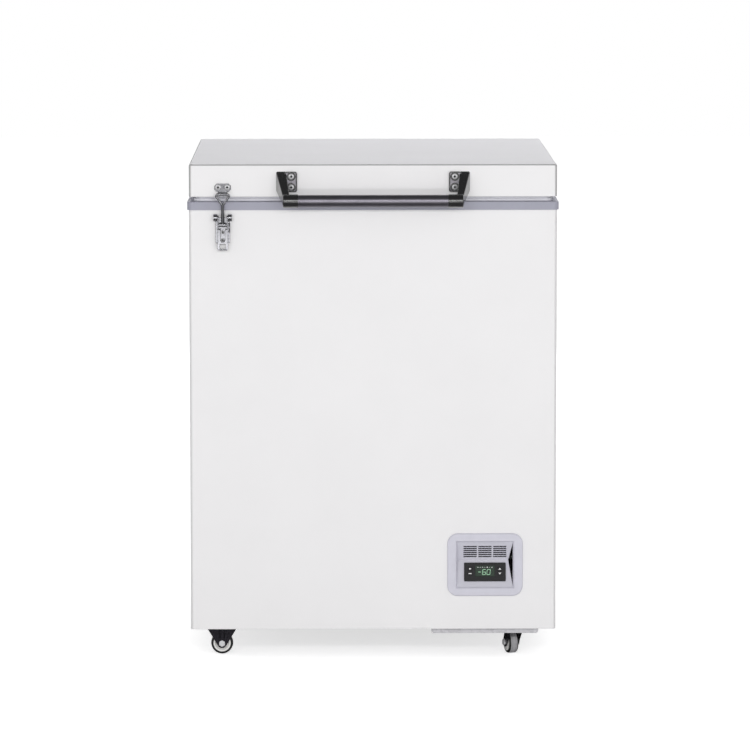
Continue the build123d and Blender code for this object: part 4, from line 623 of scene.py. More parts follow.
def smooth(mesh: bpy.types.Mesh, angle: float = 35.0) -> None:
    """Shades a mesh smooth up to an angle between faces, in degrees."""
    mesh.shade_smooth()
    mesh.set_sharp_from_angle(angle=math.radians(angle))


def discard(*helpers: bpy.types.Object) -> None:
    """Removes helper objects that are not pieces."""
    for helper in helpers:
        bpy.data.objects.remove(helper)


def hand_over(piece: bpy.types.Object, body: str, slot: str, *replaced: str) -> None:
    """Lets a finished piece ride on its body.

    Args:
        piece: Object at the origin with its final mesh.
        body: CAD body that carries it.
        slot: Material slot of the record; not used.
        replaced: CAD nodes that it stands for.
    """
    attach(piece, body)
    if replaced:
        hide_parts(*replaced)
    LOG.info("%s rides on %s, %d faces", piece.name, body, len(piece.data.polygons))


def lathe(profile: list[Pair], steps: int, place: Matrix) -> Fill:
    """Turned shape.

    Args:
        profile: Outline as pairs of place along the axis and radius, closed unless both ends are
            on the axis.
        steps: Facets around the axis.
        place: Matrix that takes the Z axis of the turned shape to its place.

    Returns:
        Function that adds the shape to a bmesh.
    """
    solid = profile[0][1] == 0.0 and profile[-1][1] == 0.0
    strips = len(profile) - 1 if solid else len(profile)

    def fill(work: BMesh) -> None:
        """Adds the rings and the strips between them.

        Args:
            work: Mesh that is filled.
        """
        rings = []
        for step in range(steps):
            turn = 2 * math.pi * step / steps
            ring = [place @ Vector((r * math.cos(turn), r * math.sin(turn), a)) for a, r in profile]
            rings.append([work.verts.new(point) for point in ring])
        for step, ring in enumerate(rings):
            after = rings[(step + 1) % steps]
            for index in range(strips):
                follow = (index + 1) % len(profile)
                corners = (ring[index], after[index], after[follow], ring[follow])
                work.faces.new(corners)

    return fill


def looking(centre: Vector, out: Vector) -> Matrix:
    """Matrix that takes Z to a direction and the origin to a point."""
    return Matrix.Translation(centre) @ out.to_track_quat("Z", "Y").to_matrix().to_4x4()


def joint(name: str) -> dict:
    """Joint of the frame, by name."""
    return next(entry for entry in frame["joints"] if entry["name"] == name)


def middle(node: str) -> Vector:
    """Centre of a CAD node's box."""
    low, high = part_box(node)
    return (low + high) / 2


def island_boxes(node: str) -> list[tuple[Vector, Vector]]:
    """Box of each separate solid in a CAD node.

    Args:
        node: Name of the node.

    Returns:
        Lowest and highest corner of each solid.
    """
    work = bmesh.new()
    work.from_mesh(frame["nodes"][node].data)
    bmesh.ops.remove_doubles(work, verts=work.verts, dist=MERGE_CAD)
    seen: set[bmesh.types.BMVert] = set()
    boxes = []
    for start in work.verts:
        if start in seen:
            continue
        seen.add(start)
        stack = [start]
        points = []
        while stack:
            vert = stack.pop()
            points.append(vert.co.copy())
            for edge in vert.link_edges:
                other = edge.other_vert(vert)
                if other not in seen:
                    seen.add(other)
                    stack.append(other)
        low = Vector([min(point[axis] for point in points) for axis in range(3)])
        high = Vector([max(point[axis] for point in points) for axis in range(3)])
        boxes.append((low, high))
    work.free()
    return boxes


class Growth:
    """Geometry Nodes tree with named inputs, grown into a plain mesh."""

    def __init__(self, name: str, **sockets: str) -> None:
        """Makes the tree.

        Args:
            name: Name of the tree.
            sockets: Input name to the last part of its socket type.
        """
        self.tree = bpy.data.node_groups.new(name, "GeometryNodeTree")
        self.sheet = Sheet(self.tree)
        side = self.tree.interface
        side.new_socket("Geometry", in_out="INPUT", socket_type="NodeSocketGeometry")
        kinds = {**sockets, "Material": "Material"}
        self.keys = {
            label: side.new_socket(label, in_out="INPUT", socket_type=f"NodeSocket{kind}").identifier
            for label, kind in kinds.items()
        }
        side.new_socket("Geometry", in_out="OUTPUT", socket_type="NodeSocketGeometry")
        self.given = self.sheet.add("NodeGroupInput").outputs

    def part(self) -> Socket:
        """Geometry of the object that is given as Part."""
        return self.sheet.add("GeometryNodeObjectInfo", {"Object": self.given["Part"]}).outputs["Geometry"]

    def close(self, geometry: Socket) -> None:
        """Ends the tree in real geometry with its material.

        Args:
            geometry: What the tree has made.
        """
        real = self.sheet.out("GeometryNodeRealizeInstances", {"Geometry": geometry})
        inputs = {"Geometry": real, "Material": self.given["Material"]}
        self.sheet.add("NodeGroupOutput", {"Geometry": self.sheet.out("GeometryNodeSetMaterial", inputs)})

    def grow(
        self, name: str, finish: Finish, seed: bpy.types.Mesh | None = None, **values: object
    ) -> bpy.types.Object:
        """Runs the tree on a new object and keeps the plain mesh.

        Args:
            name: Name of the piece.
            finish: Surface of the piece.
            seed: Mesh that the tree starts from, such as points.
            values: Input name to its value.

        Returns:
            The piece, with no modifier left.
        """
        piece = new_object(name, seed or bpy.data.meshes.new(name))
        modifier = piece.modifiers.new(self.tree.name, "NODES")
        modifier.node_group = self.tree
        modifier[self.keys["Material"]] = PAINTBOX.material(finish)
        for label, value in values.items():
            modifier[self.keys[label]] = value
        settle(piece)
        return piece


def scatter_tree() -> Growth:
    """Tree that sets a part on points, turned and sized by their attributes.

    Returns:
        The tree, with Part and Scale as inputs.
    """
    growth = Growth("scatter_on_points", Part="Object", Scale="Float")
    sheet = growth.sheet
    kind = "GeometryNodeInputNamedAttribute"
    out = sheet.out(kind, {"Name": "out"}, data_type="FLOAT_VECTOR")
    size = sheet.out(kind, {"Name": "size"}, data_type="FLOAT")
    inputs = {
        "Points": growth.given["Geometry"],
        "Instance": growth.part(),
        "Rotation": sheet.out("FunctionNodeAlignRotationToVector", {"Vector": out}, axis="Z"),
        "Scale": sheet.calc("MULTIPLY", size, growth.given["Scale"]),
    }
    growth.close(sheet.out("GeometryNodeInstanceOnPoints", inputs))
    return growth


def points_mesh(name: str, points: list[Vector], outs: list[Vector], sizes: list[float]) -> bpy.types.Mesh:
    """Points with the attributes that the scatter tree reads.

    Args:
        name: Name of the mesh.
        points: Places.
        outs: Direction that each part's Z axis takes.
        sizes: Size of each part.

    Returns:
        Mesh of loose points.
    """
    mesh = bpy.data.meshes.new(name)
    mesh.from_pydata(points, [], [])
    out = mesh.attributes.new("out", "FLOAT_VECTOR", "POINT")
    out.data.foreach_set("vector", [value for way in outs for value in way])
    size = mesh.attributes.new("size", "FLOAT", "POINT")
    size.data.foreach_set("value", sizes)
    return mesh


@dataclass
class Screws:
    """Pan head screws with a cross recess, set where the frame's screws are.

    Sizes are shares of the head's radius, because each screw is scaled to its own head.
    """

    head_h: float = 0.55
    shank_r: float = 0.45
    shank_h: float = 0.8
    cross_w: float = 0.36
    cross_reach: float = 0.52
    cross_depth: float = 0.34
    cross_floor: float = 0.8
    dome: tuple[float, ...] = (0.3, 0.5, 0.7, 0.85, 0.95)
    dome_drop: float = 0.55
    rim_drop: float = 0.72
    rim_r: float = 0.98
    steep: float = 0.5
    facets: int = 40

    def head(self) -> bpy.types.Object:
        """Screw of head radius 1, its top at the origin and its shank down.

        Returns:
            The screw, with its recess marked on its faces.
        """
        dome = [(-self.head_h * share**2 * self.dome_drop, share) for share in self.dome]
        low = -self.head_h
        rim = [(low * self.rim_drop, 1.0), (low, self.rim_r)]
        shank = [(low, self.shank_r), (low - self.shank_h, self.shank_r)]
        outline = [(0.0, 0.0), *dome, *rim, *shank, (low - self.shank_h, 0.0)]
        body = make_piece("screw_head", lathe(outline, self.facets, Matrix()))
        cutter = make_piece("screw_cross", self.cross)
        cut = body.modifiers.new("cross", "BOOLEAN")
        cut.operation = "DIFFERENCE"
        cut.object = cutter
        smooth(settle(body))
        discard(cutter)
        mark = body.data.attributes.new("drive", "BOOLEAN", "FACE")
        mark.data.foreach_set("value", [self.in_drive(face) for face in body.data.polygons])
        return body

    def in_drive(self, face: bpy.types.MeshPolygon) -> bool:
        """Whether a face is the recess's floor or one of its walls."""
        deep = face.center.z < -self.cross_depth / 2
        return face.center.xy.length < self.cross_reach and (deep or face.normal.z < self.steep)

    def cross(self, work: BMesh) -> None:
        """Plus shape, narrower at its floor, that cuts the recess.

        Args:
            work: Mesh that is filled.
        """
        arm = self.cross_w / 2
        turns = [Matrix.Rotation(math.pi / 2 * turn, 2) for turn in range(4)]
        rings = []
        for level, share in ((-self.cross_depth, self.cross_floor), (self.head_h, 1.0)):
            reach = self.cross_reach * share
            quarter = [Vector((reach, -arm)), Vector((reach, arm)), Vector((arm, arm))]
            rings.append([Vector((*(turn @ corner), level)) for turn in turns for corner in quarter])
        loft(work, *rings)

    @staticmethod
    def stance(low: Vector, high: Vector) -> tuple[Vector, Vector, float]:
        """Place, direction and head radius of a frame screw.

        Args:
            low: Lowest corner of its box.
            high: Highest corner of its box.

        Returns:
            Middle of the head's top, direction out of its seat, and radius.
        """
        size = high - low
        pairs = {axis: abs(size[(axis + 1) % 3] - size[(axis + 2) % 3]) for axis in range(3)}
        axis = min(pairs, key=pairs.get)
        centre = (low + high) / 2
        sign = 1.0 if axis == 1 and centre.y > 0 else -1.0
        out = Vector((0, 0, 0))
        out[axis] = sign
        top = centre.copy()
        top[axis] = high[axis] if sign > 0 else low[axis]
        return top, out, size[(axis + 1) % 3] / 2

    def build(self) -> None:
        """Makes one set for each body that holds screws."""
        growth = scatter_tree()
        head = self.head()
        for node, body in (("lid_screws", "lid"), ("cabinet_screws", "cabinet")):
            stances = [self.stance(low, high) for low, high in island_boxes(node)]
            points, outs, sizes = (list(column) for column in zip(*stances))
            seed = points_mesh(f"{node}_points", points, outs, sizes)
            piece = growth.grow(f"{body}_screw_set", SCREW_ZINC, seed, Part=head, Scale=1.0)
            # The recess's faces take the dark finish, which is painted shade.
            dark = len(piece.data.materials)
            piece.data.materials.append(PAINTBOX.material(DRIVE_SHADE))
            marks = piece.data.attributes["drive"].data
            for face in piece.data.polygons:
                if marks[face.index].value:
                    face.material_index = dark
            hand_over(piece, body, "screw_zinc", node)
        discard(head)


@dataclass
class Cabinet:
    """Painted cabinet, its collar and liner, and the louvred cover on its back."""

    louvre_w: float = 78 * MM
    louvre_h: float = 8 * MM
    louvre_out: float = 4 * MM
    louvre_t: float = 0.8 * MM
    slot_h: float = 5 * MM
    pitch_x: float = 92 * MM
    pitch_z: float = 12 * MM
    rows: int = 12
    columns: int = 2
    sill: float = 18 * MM
    hood_square: int = 8
    steps_across: int = 16
    steps_round: int = 6

    def dress(self) -> None:
        """Coats the cabinet's sheets, foam, collar and liner."""
        PAINTBOX.coat(WHITE_PAINT, "outer_wrapper", "rear_panel", "rear_cover", "hinge_housings")
        PAINTBOX.coat(GALVANISED, "base_pan", "compressor_tray", "machine_bulkhead")
        PAINTBOX.coat(FOAM, "cabinet_foam")
        PAINTBOX.coat(LINER_STEEL, "inner_liner")
        PAINTBOX.coat(COLLAR_GREY, "top_collar")
        PAINTBOX.coat(SCREW_ZINC, "hinge_pins", "hinge_springs", "cabinet_screws")
        PAINTBOX.coat(LATCH_STEEL, "temperature_probe")
        PAINTBOX.coat(BRACKET_BLACK, "cable_gland")

    def hood(self, work: BMesh) -> None:
        """Pressed hood of one louvre, open at its lower lip, its slot's middle at the origin.

        Args:
            work: Mesh that is filled.
        """
        rows = []
        for step in range(self.steps_across + 1):
            share = 2 * step / self.steps_across - 1
            swell = math.sqrt(1 - share**self.hood_square)
            row = []
            for turn in range(self.steps_round + 1):
                angle = math.pi / 2 * turn / self.steps_round
                out = self.louvre_out * swell * math.sin(angle)
                rise = self.louvre_h * swell * math.cos(angle)
                row.append(work.verts.new((share * self.louvre_w / 2, out, rise - self.slot_h / 2)))
            rows.append(row)
        for left, right in zip(rows, rows[1:]):
            for turn in range(self.steps_round):
                work.faces.new((left[turn], left[turn + 1], right[turn + 1], right[turn]))

    def louvre_tree(self) -> Growth:
        """Tree that repeats the hood over the cover.

        Returns:
            The tree, with the hood, its counts and spacing as inputs.
        """
        growth = Growth(
            "louvre_rows", Part="Object", Columns="Int", Rows="Int", Width="Float", Height="Float",
            Centre="Vector",
        )
        sheet, given = growth.sheet, growth.given
        inputs = {
            "Size X": given["Width"],
            "Size Y": given["Height"],
            "Vertices X": given["Columns"],
            "Vertices Y": given["Rows"],
        }
        grid = sheet.out("GeometryNodeMeshGrid", inputs)
        upright = {"Geometry": grid, "Rotation": (math.pi / 2, 0, 0), "Translation": given["Centre"]}
        points = sheet.out("GeometryNodeTransform", upright)
        inputs = {"Points": points, "Instance": growth.part()}
        growth.close(sheet.out("GeometryNodeInstanceOnPoints", inputs))
        return growth

    def louvres(self) -> None:
        """Sets a hood over each slot of the rear cover."""
        hood = make_piece("louvre_hood", self.hood)
        wall = hood.modifiers.new("wall", "SOLIDIFY")
        wall.thickness = self.louvre_t
        wall.offset = 0.0
        smooth(settle(hood), SOFT_ANGLE)
        low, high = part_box("rear_cover")
        height = self.pitch_z * (self.rows - 1)
        first = low.z + self.sill + self.slot_h / 2
        centre = Vector(((low.x + high.x) / 2, high.y, first + height / 2))
        piece = self.louvre_tree().grow(
            "rear_cover_louvres", WHITE_PAINT, Part=hood, Columns=self.columns, Rows=self.rows,
            Width=self.pitch_x * (self.columns - 1), Height=height, Centre=centre,
        )
        hand_over(piece, "cabinet", "white_paint")
        discard(hood)

    def build(self) -> None:
        """Coats the nodes and adds the louvres."""
        self.dress()
        self.louvres()


@dataclass
class Lid:
    """Painted lid with its liner and the bellows gasket under its rim."""

    waist: float = 4.6 * MM
    pocket_h: float = 4.6 * MM
    edge: float = 0.6 * MM
    corner_r: float = 14 * MM
    corner_steps: int = 10

    def dress(self) -> None:
        """Coats the lid's sheets and hinge arms."""
        PAINTBOX.coat(LID_PAINT, "lid_shell")
        PAINTBOX.coat(FOAM, "lid_foam")
        PAINTBOX.coat(LID_LINER, "lid_liner")
        PAINTBOX.coat(GALVANISED, "hinge_arms")
        PAINTBOX.coat(GASKET, "lid_gasket")
        PAINTBOX.coat(SCREW_ZINC, "lid_screws")

    def section(self, half_w: float, height: float) -> list[Pair]:
        """Outline of the gasket: narrow bellows under the lid, magnet pocket below.

        Args:
            half_w: Half of the gasket's width.
            height: Its height.

        Returns:
            Pairs of place across the gasket and height above its lower face.
        """
        edge = self.edge
        bend = (height + self.pocket_h) / 2
        right = [
            (half_w - edge, 0.0),
            (half_w, edge),
            (half_w, self.pocket_h - edge),
            (half_w - edge, self.pocket_h),
            (self.waist + edge, self.pocket_h + edge),
            (self.waist, bend),
            (self.waist + edge, height),
        ]
        return right + [(-across, level) for across, level in reversed(right)]

    def gasket_tree(self) -> Growth:
        """Tree that sweeps a section round a rounded rectangle.

        Returns:
            The tree, with the section and the rectangle's sizes as inputs.
        """
        growth = Growth(
            "gasket_sweep", Width="Float", Depth="Float", Radius="Float", Steps="Int", Centre="Vector",
            Part="Object",
        )
        sheet, given = growth.sheet, growth.given
        inputs = {"Width": given["Width"], "Height": given["Depth"]}
        path = sheet.out("GeometryNodeCurvePrimitiveQuadrilateral", inputs)
        inputs = {"Curve": path, "Radius": given["Radius"], "Count": given["Steps"]}
        path = sheet.out("GeometryNodeFilletCurve", inputs, mode="POLY")
        path = sheet.out("GeometryNodeSetCurveNormal", {"Curve": path}, mode="Z_UP")
        ring = sheet.out("GeometryNodeCurveToMesh", {"Curve": path, "Profile Curve": growth.part()})
        inputs = {"Geometry": ring, "Translation": given["Centre"]}
        growth.close(sheet.out("GeometryNodeTransform", inputs))
        return growth

    def gasket(self) -> None:
        """Makes the bellows gasket in place of the plain solid."""
        low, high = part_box("lid_gasket")
        width = self.gasket_width(low, high)
        outline = bpy.data.curves.new("gasket_section", "CURVE")
        spline = outline.splines.new("POLY")
        points = self.section(width / 2, high.z - low.z)
        spline.points.add(len(points) - 1)
        for point, (across, level) in zip(spline.points, points):
            point.co = (across, -level, 0.0, 1.0)
        spline.use_cyclic_u = True
        section = new_object("gasket_section", outline)
        centre = Vector(((low.x + high.x) / 2, (low.y + high.y) / 2, low.z))
        piece = self.gasket_tree().grow(
            "lid_bellows_gasket", GASKET, Width=high.x - low.x - width, Depth=high.y - low.y - width,
            Radius=self.corner_r - width / 2, Steps=self.corner_steps, Centre=centre, Part=section,
        )
        smooth(piece.data, SOFT_ANGLE)
        hand_over(piece, "lid", "gasket_rubber", "lid_gasket")
        discard(section)

    @staticmethod
    def gasket_width(low: Vector, high: Vector) -> float:
        """Width of the solid gasket's rim, read from its mesh.

        Args:
            low: Lowest corner of the gasket.
            high: Its highest corner.

        Returns:
            Width of the rim.
        """
        centre_x = (low.x + high.x) / 2
        inner = [abs(vert.co.x - centre_x) for vert in frame["nodes"]["lid_gasket"].data.vertices]
        outer = (high.x - low.x) / 2
        return outer - min(value for value in inner if value > outer / 2)

    def build(self) -> None:
        """Coats the nodes and makes the gasket."""
        self.dress()
        self.gasket()


@dataclass
class Handle:
    """Dark bar between two moulded brackets."""

    brackets: tuple[str, str] = ("handle_bracket_left", "handle_bracket_right")

    def build(self) -> None:
        """Coats the brackets and the bar."""
        PAINTBOX.coat(BRACKET_BLACK, *self.brackets)
        PAINTBOX.coat(BAR_DARK, "handle_bar")


@dataclass
class Latch:
    """Toggle latch: keeper on the lid, base, lever and wire bail."""

    nodes: tuple[str, ...] = ("latch_keeper", "latch_base", "latch_pins", "latch_lever", "latch_bail")

    def build(self) -> None:
        """Coats the latch's pieces."""
        PAINTBOX.coat(LATCH_STEEL, *self.nodes)


@dataclass
class ControlPanel:
    """Bezel, controller, its lit digits and the marks on its keys."""

    digits: str = "-60"
    digit_w: float = 5.6 * MM
    digit_h: float = 9.2 * MM
    digit_pitch: float = 8.0 * MM
    digit_drop: float = 1.9 * MM
    stroke: float = 0.9 * MM
    slant: float = 0.12
    tip_gap: float = 0.14
    mark_w: float = 2.4 * MM
    mark_h: float = 1.0 * MM
    mark_pitch: float = 4.2 * MM
    mark_count: int = 7
    mark_lift: float = 6.6 * MM
    mark_tall: float = 1.6
    mark_taper: float = 0.7
    mark_point: float = 0.6
    sink: float = 0.04 * MM
    proud: float = 0.06 * MM
    arrow_w: float = 5.4 * MM
    arrow_h: float = 3.3 * MM
    lit: dict[str, str] = field(default_factory=lambda: {
        "-": "g", "0": "abcdef", "1": "bc", "2": "abged", "3": "abgcd",
        "4": "fgbc", "5": "afgcd", "6": "afgedc", "7": "abc", "8": "abcdefg", "9": "abfgcd",
    })

    def face(self, node: str) -> Matrix:
        """Matrix of a node's outer face on the sloping fascia.

        Args:
            node: Display window or a key.

        Returns:
            Matrix with X across, Y up the slope, Z out of the face.
        """
        axis = joint("key_up_left_press")["axis"]
        out = -Vector(axis).normalized()
        across = Vector((1, 0, 0))
        up = out.cross(across)
        turn = Matrix((across, up, out)).transposed().to_4x4()
        centre = middle(node)
        reach = max((vert.co - centre).dot(out) for vert in frame["nodes"][node].data.vertices)
        return Matrix.Translation(centre + out * reach) @ turn

    def prism(self, work: BMesh, outline: list[Pair], place: Matrix, finish: int = 0) -> None:
        """Adds a thin flat shape, sunk a hair into the face.

        Args:
            work: Mesh that is filled.
            outline: Corners on the face.
            place: Matrix of the face.
            finish: Material slot of the shape.
        """
        low = [place @ Vector((x, y, -self.sink)) for x, y in outline]
        high = [place @ Vector((x, y, self.proud)) for x, y in outline]
        for face in loft(work, low, high):
            face.material_index = finish

    def bar(self, start: Pair, end: Pair) -> list[Pair]:
        """Pointed bar of a digit between two corners of its frame.

        Args:
            start: Corner at one end.
            end: Corner at the other.

        Returns:
            Slanted outline of the bar.
        """
        line = Vector(end) - Vector(start)
        along = line.normalized()
        side = Vector((-along.y, along.x)) * self.stroke / 2
        gap = along * self.stroke * self.tip_gap
        tip = along * self.stroke / 2
        first = Vector(start) + gap
        last = Vector(end) - gap
        corners = (first, first + tip + side, last - tip + side, last, last - tip - side, first + tip - side)
        return [(point.x + self.slant * point.y, point.y) for point in corners]

    def digit(self, sign: str, left: float) -> list[list[Pair]]:
        """Lit bars of one digit.

        Args:
            sign: Figure or minus that is shown.
            left: Left end of its place.

        Returns:
            Outline of each lit bar.
        """
        right = left + self.digit_w
        low = -self.digit_drop - self.digit_h / 2
        high = low + self.digit_h
        half = low + self.digit_h / 2
        frame_bars = {
            "a": ((left, high), (right, high)),
            "b": ((right, half), (right, high)),
            "c": ((right, low), (right, half)),
            "d": ((left, low), (right, low)),
            "e": ((left, low), (left, half)),
            "f": ((left, half), (left, high)),
            "g": ((left, half), (right, half)),
        }
        return [self.bar(*frame_bars[name]) for name in self.lit[sign]]

    def readout(self) -> None:
        """Digits and the row of small marks over them."""
        place = self.face("display_window")
        first = -self.digit_pitch * len(self.digits) / 2

        def fill(work: BMesh) -> None:
            """Adds the digits and the marks.

            Args:
                work: Mesh that is filled.
            """
            for index, sign in enumerate(self.digits):
                for outline in self.digit(sign, first + index * self.digit_pitch):
                    self.prism(work, outline, place)
            for index in range(self.mark_count):
                x = (index - (self.mark_count - 1) / 2) * self.mark_pitch
                height = self.mark_h * (self.mark_tall if index % 3 == 1 else 1.0)
                self.prism(work, self.mark(x, height, index % 2 == 0), place, 1)

        piece = make_piece("display_readout", fill, DISPLAY_LIT, LEGEND_WHITE)
        hand_over(piece, "cabinet", "display_glass")

    def mark(self, x: float, height: float, flat_ended: bool) -> list[Pair]:
        """Small mark on the display's top row.

        Args:
            x: Middle of the mark.
            height: Its height.
            flat_ended: Whether its top is flat, and not a point.

        Returns:
            Outline of the mark.
        """
        low = self.mark_lift - height / 2
        high = self.mark_lift + height / 2
        half = self.mark_w / 2
        if flat_ended:
            top = half * self.mark_taper
            return [(x - half, low), (x + half, low), (x + top, high), (x - top, high)]
        half *= self.mark_point
        return [(x - half, low), (x + half, low), (x, high)]

    def legends(self) -> None:
        """White arrow or bar on each key."""
        half = self.arrow_w / 2
        rise = self.arrow_h / 2
        thin = self.arrow_h / 4
        shapes = {
            "key_up_right": [(-half, -rise), (half, -rise), (0.0, rise)],
            "key_down_right": [(-half, rise), (0.0, -rise), (half, rise)],
            "key_up_left": [(-rise, -thin), (0.0, -rise), (half, 0.0), (0.0, rise), (-rise, thin)],
            "key_down_left": [(-half, -thin), (half, -thin), (half, thin), (-half, thin)],
        }
        for key, outline in shapes.items():
            place = self.face(key)
            piece = make_piece(f"{key}_mark", lambda work: self.prism(work, outline, place), LEGEND_WHITE)
            hand_over(piece, key, "key_black")

    def build(self) -> None:
        """Coats the panel and adds what is lit or printed on it."""
        PAINTBOX.coat(BEZEL_SILVER, "control_bezel")
        PAINTBOX.coat(CONTROLLER_BLACK, "controller_module")
        PAINTBOX.coat(DISPLAY_GLASS, "display_window")
        PAINTBOX.coat(KEY_BLACK, "key_up_left", "key_down_left", "key_up_right", "key_down_right")
        self.readout()
        self.legends()


@dataclass
class RunningGear:
    """Casters: forks, axles, hubs with moulded ribs and grooved tyres."""

    casters: tuple[str, ...] = ("front_left", "rear_left", "front_right", "rear_right")
    facets: int = 96
    crown: float = 0.35 * MM
    shoulder: float = 2.6 * MM
    shoulder_steps: int = 6
    lit_and_worn_w: float = 12.4 * MM
    groove_at: float = 3.1 * MM
    groove_w: float = 0.9 * MM
    groove_h: float = 0.5 * MM
    rib_count: int = 10
    rib_t: float = 1.2 * MM
    rib_in: float = 6.2 * MM
    rib_out: float = 12.8 * MM
    rib_h: float = 3.2 * MM
    rib_taper: float = 0.7
    rib_sink: float = 0.1 * MM
    dish: float = 4.0 * MM
    half_w: float = 8.5 * MM
    bead_r: float = 15.53 * MM

    def dress(self) -> None:
        """Coats forks, plates, bolts, hubs and tyres."""
        PAINTBOX.coat(FORK_STEEL, "rigid_forks", "swivel_fork_front", "swivel_fork_rear", "swivel_plates")
        PAINTBOX.coat(SCREW_ZINC, "caster_bolts", "rigid_axles", "swivel_axle_front", "swivel_axle_rear")
        PAINTBOX.coat(HUB_WHITE, *(f"hub_{caster}" for caster in self.casters))
        PAINTBOX.coat(TYRE_BLACK, *(f"tyre_{caster}" for caster in self.casters))

    def axis(self, caster: str) -> Matrix:
        """Matrix of a wheel: its centre, with Z along its axle."""
        out = Vector(joint(f"wheel_{caster}_roll")["axis"]).normalized()
        return looking(middle(f"hub_{caster}"), out)

    def tread(self, radius: float) -> list[Pair]:
        """Outline of the tyre's section, with two grooves in a crowned tread.

        Args:
            radius: Wheel's radius.

        Returns:
            Pairs of place along the axle and radius.
        """
        flat = self.half_w - self.shoulder
        right = [(self.half_w, self.bead_r), (self.half_w, radius - self.shoulder)]
        for step in range(1, self.shoulder_steps):
            angle = math.pi / 2 * step / self.shoulder_steps
            right.append((
                flat + self.shoulder * math.cos(angle),
                radius - self.crown - self.shoulder * (1 - math.sin(angle)),
            ))
        right.append((flat, radius - self.crown))
        groove_top = radius - self.crown / 2
        right += [
            (self.groove_at + self.groove_w / 2, groove_top),
            (self.groove_at + self.groove_w / 4, groove_top - self.groove_h),
            (self.groove_at - self.groove_w / 4, groove_top - self.groove_h),
            (self.groove_at - self.groove_w / 2, groove_top),
        ]
        right.append((0.0, radius))
        return right + [(-place, level) for place, level in reversed(right[:-1])]

    def tyres(self) -> None:
        """Makes each tyre in place of its plain ring."""
        low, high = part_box("tyre_front_left")
        radius = (high.z - low.z) / 2
        for caster in self.casters:
            axis = self.axis(caster)
            fill = lathe(self.tread(radius), self.facets, axis)
            piece = make_piece(f"grooved_tyre_{caster}", fill, TYRE_BLACK, TREAD_LIT_AND_WORN)
            smooth(piece.data)
            # Faces of the tread band take the grey finish: painted light on the tread, and worn rubber.
            back = axis.inverted()
            for face in piece.data.polygons:
                place = back @ face.center
                lit_and_worn = abs(place.z) < self.lit_and_worn_w / 2 and place.xy.length > self.bead_r + self.shoulder / 2
                face.material_index = int(lit_and_worn)
            hand_over(piece, f"wheel_{caster}", "tyre_black", f"tyre_{caster}")

    def rib(self, work: BMesh) -> None:
        """One rib of the hub's dish, standing on the dish's floor, its length along X.

        Args:
            work: Mesh that is filled.
        """
        bar = bmesh.ops.create_cube(work, size=1.0)["verts"]
        for vert in bar:
            taper = self.rib_taper if vert.co.z > 0 else 1.0
            vert.co.x = self.rib_out if vert.co.x > 0 else self.rib_in
            vert.co.y *= self.rib_t * taper
            vert.co.z = self.rib_h if vert.co.z > 0 else -self.rib_sink

    def rib_tree(self) -> Growth:
        """Tree that repeats the rib round both faces of a hub.

        Returns:
            The tree, with the rib, its count and the hub's place as inputs.
        """
        growth = Growth(
            "hub_rib_star", Part="Object", Count="Int", Floor="Float", Centre="Vector", Turn="Rotation"
        )
        sheet, given = growth.sheet, growth.given
        part = growth.part()
        step = sheet.calc("DIVIDE", 2 * math.pi, given["Count"])
        angle = sheet.calc("MULTIPLY", sheet.out("GeometryNodeInputIndex"), step)
        both = sheet.add("GeometryNodeJoinGeometry")
        for flip in (0.0, math.pi):
            points = sheet.out("GeometryNodeMeshLine", {"Count": given["Count"], "Offset": (0.0, 0.0, 0.0)})
            spin = sheet.out("ShaderNodeCombineXYZ", {"Z": angle})
            turn = sheet.out("FunctionNodeEulerToRotation", {"Euler": spin})
            inputs = {"Points": points, "Instance": part, "Rotation": turn}
            star = sheet.out("GeometryNodeInstanceOnPoints", inputs)
            lift = sheet.out("ShaderNodeCombineXYZ", {"Z": given["Floor"]})
            raised = sheet.out("GeometryNodeTransform", {"Geometry": star, "Translation": lift})
            inputs = {"Geometry": raised, "Rotation": (flip, 0.0, 0.0)}
            sheet.tree.links.new(sheet.out("GeometryNodeTransform", inputs), both.inputs[0])
        inputs = {"Geometry": both.outputs[0], "Translation": given["Centre"], "Rotation": given["Turn"]}
        growth.close(sheet.out("GeometryNodeTransform", inputs))
        return growth

    def ribs(self) -> None:
        """Adds the star of ribs to each hub."""
        growth = self.rib_tree()
        part = make_piece("hub_rib", self.rib)
        for caster in self.casters:
            axis = self.axis(caster)
            piece = growth.grow(
                f"hub_ribs_{caster}", HUB_WHITE, Part=part, Count=self.rib_count,
                Floor=self.half_w - self.dish, Centre=axis.translation, Turn=axis.to_euler(),
            )
            hand_over(piece, f"wheel_{caster}", "hub_white")
        discard(part)

    def build(self) -> None:
        """Coats the casters and makes their wheels' fine pieces."""
        self.dress()
        self.tyres()
        self.ribs()


@dataclass
class Machinery:
    """Refrigeration pieces behind the covers."""

    def build(self) -> None:
        """Coats the compressor, condenser, fan and lines."""
        PAINTBOX.coat(COMPRESSOR_BLACK, "compressor")
        PAINTBOX.coat(GROMMET, "compressor_grommets")
        PAINTBOX.coat(FIN_ALUMINIUM, "condenser")
        PAINTBOX.coat(FAN_PLASTIC, "fan_shroud", "condenser_fan")
        PAINTBOX.coat(GALVANISED, "fan_motor")
        PAINTBOX.coat(COPPER, "evaporator_coil", "refrigerant_lines")


@dataclass(frozen=True)
class SoftBox:
    """Soft lamp: place and size in metres, power in watts, and the tint of its light."""

    name: str
    place: Place
    size: Pair
    power: float
    tint: Colour = (1.0, 1.0, 1.0)

    def build(self, target: Vector) -> None:
        """Hangs the lamp.

        Args:
            target: Point that it looks at.
        """
        data = bpy.data.lights.new(self.name, "AREA")
        data.shape = "RECTANGLE"
        data.size, data.size_y = self.size
        data.energy = self.power
        data.color = self.tint
        place = Vector(self.place)
        new_object(self.name, data).matrix_world = looking(place, place - target)


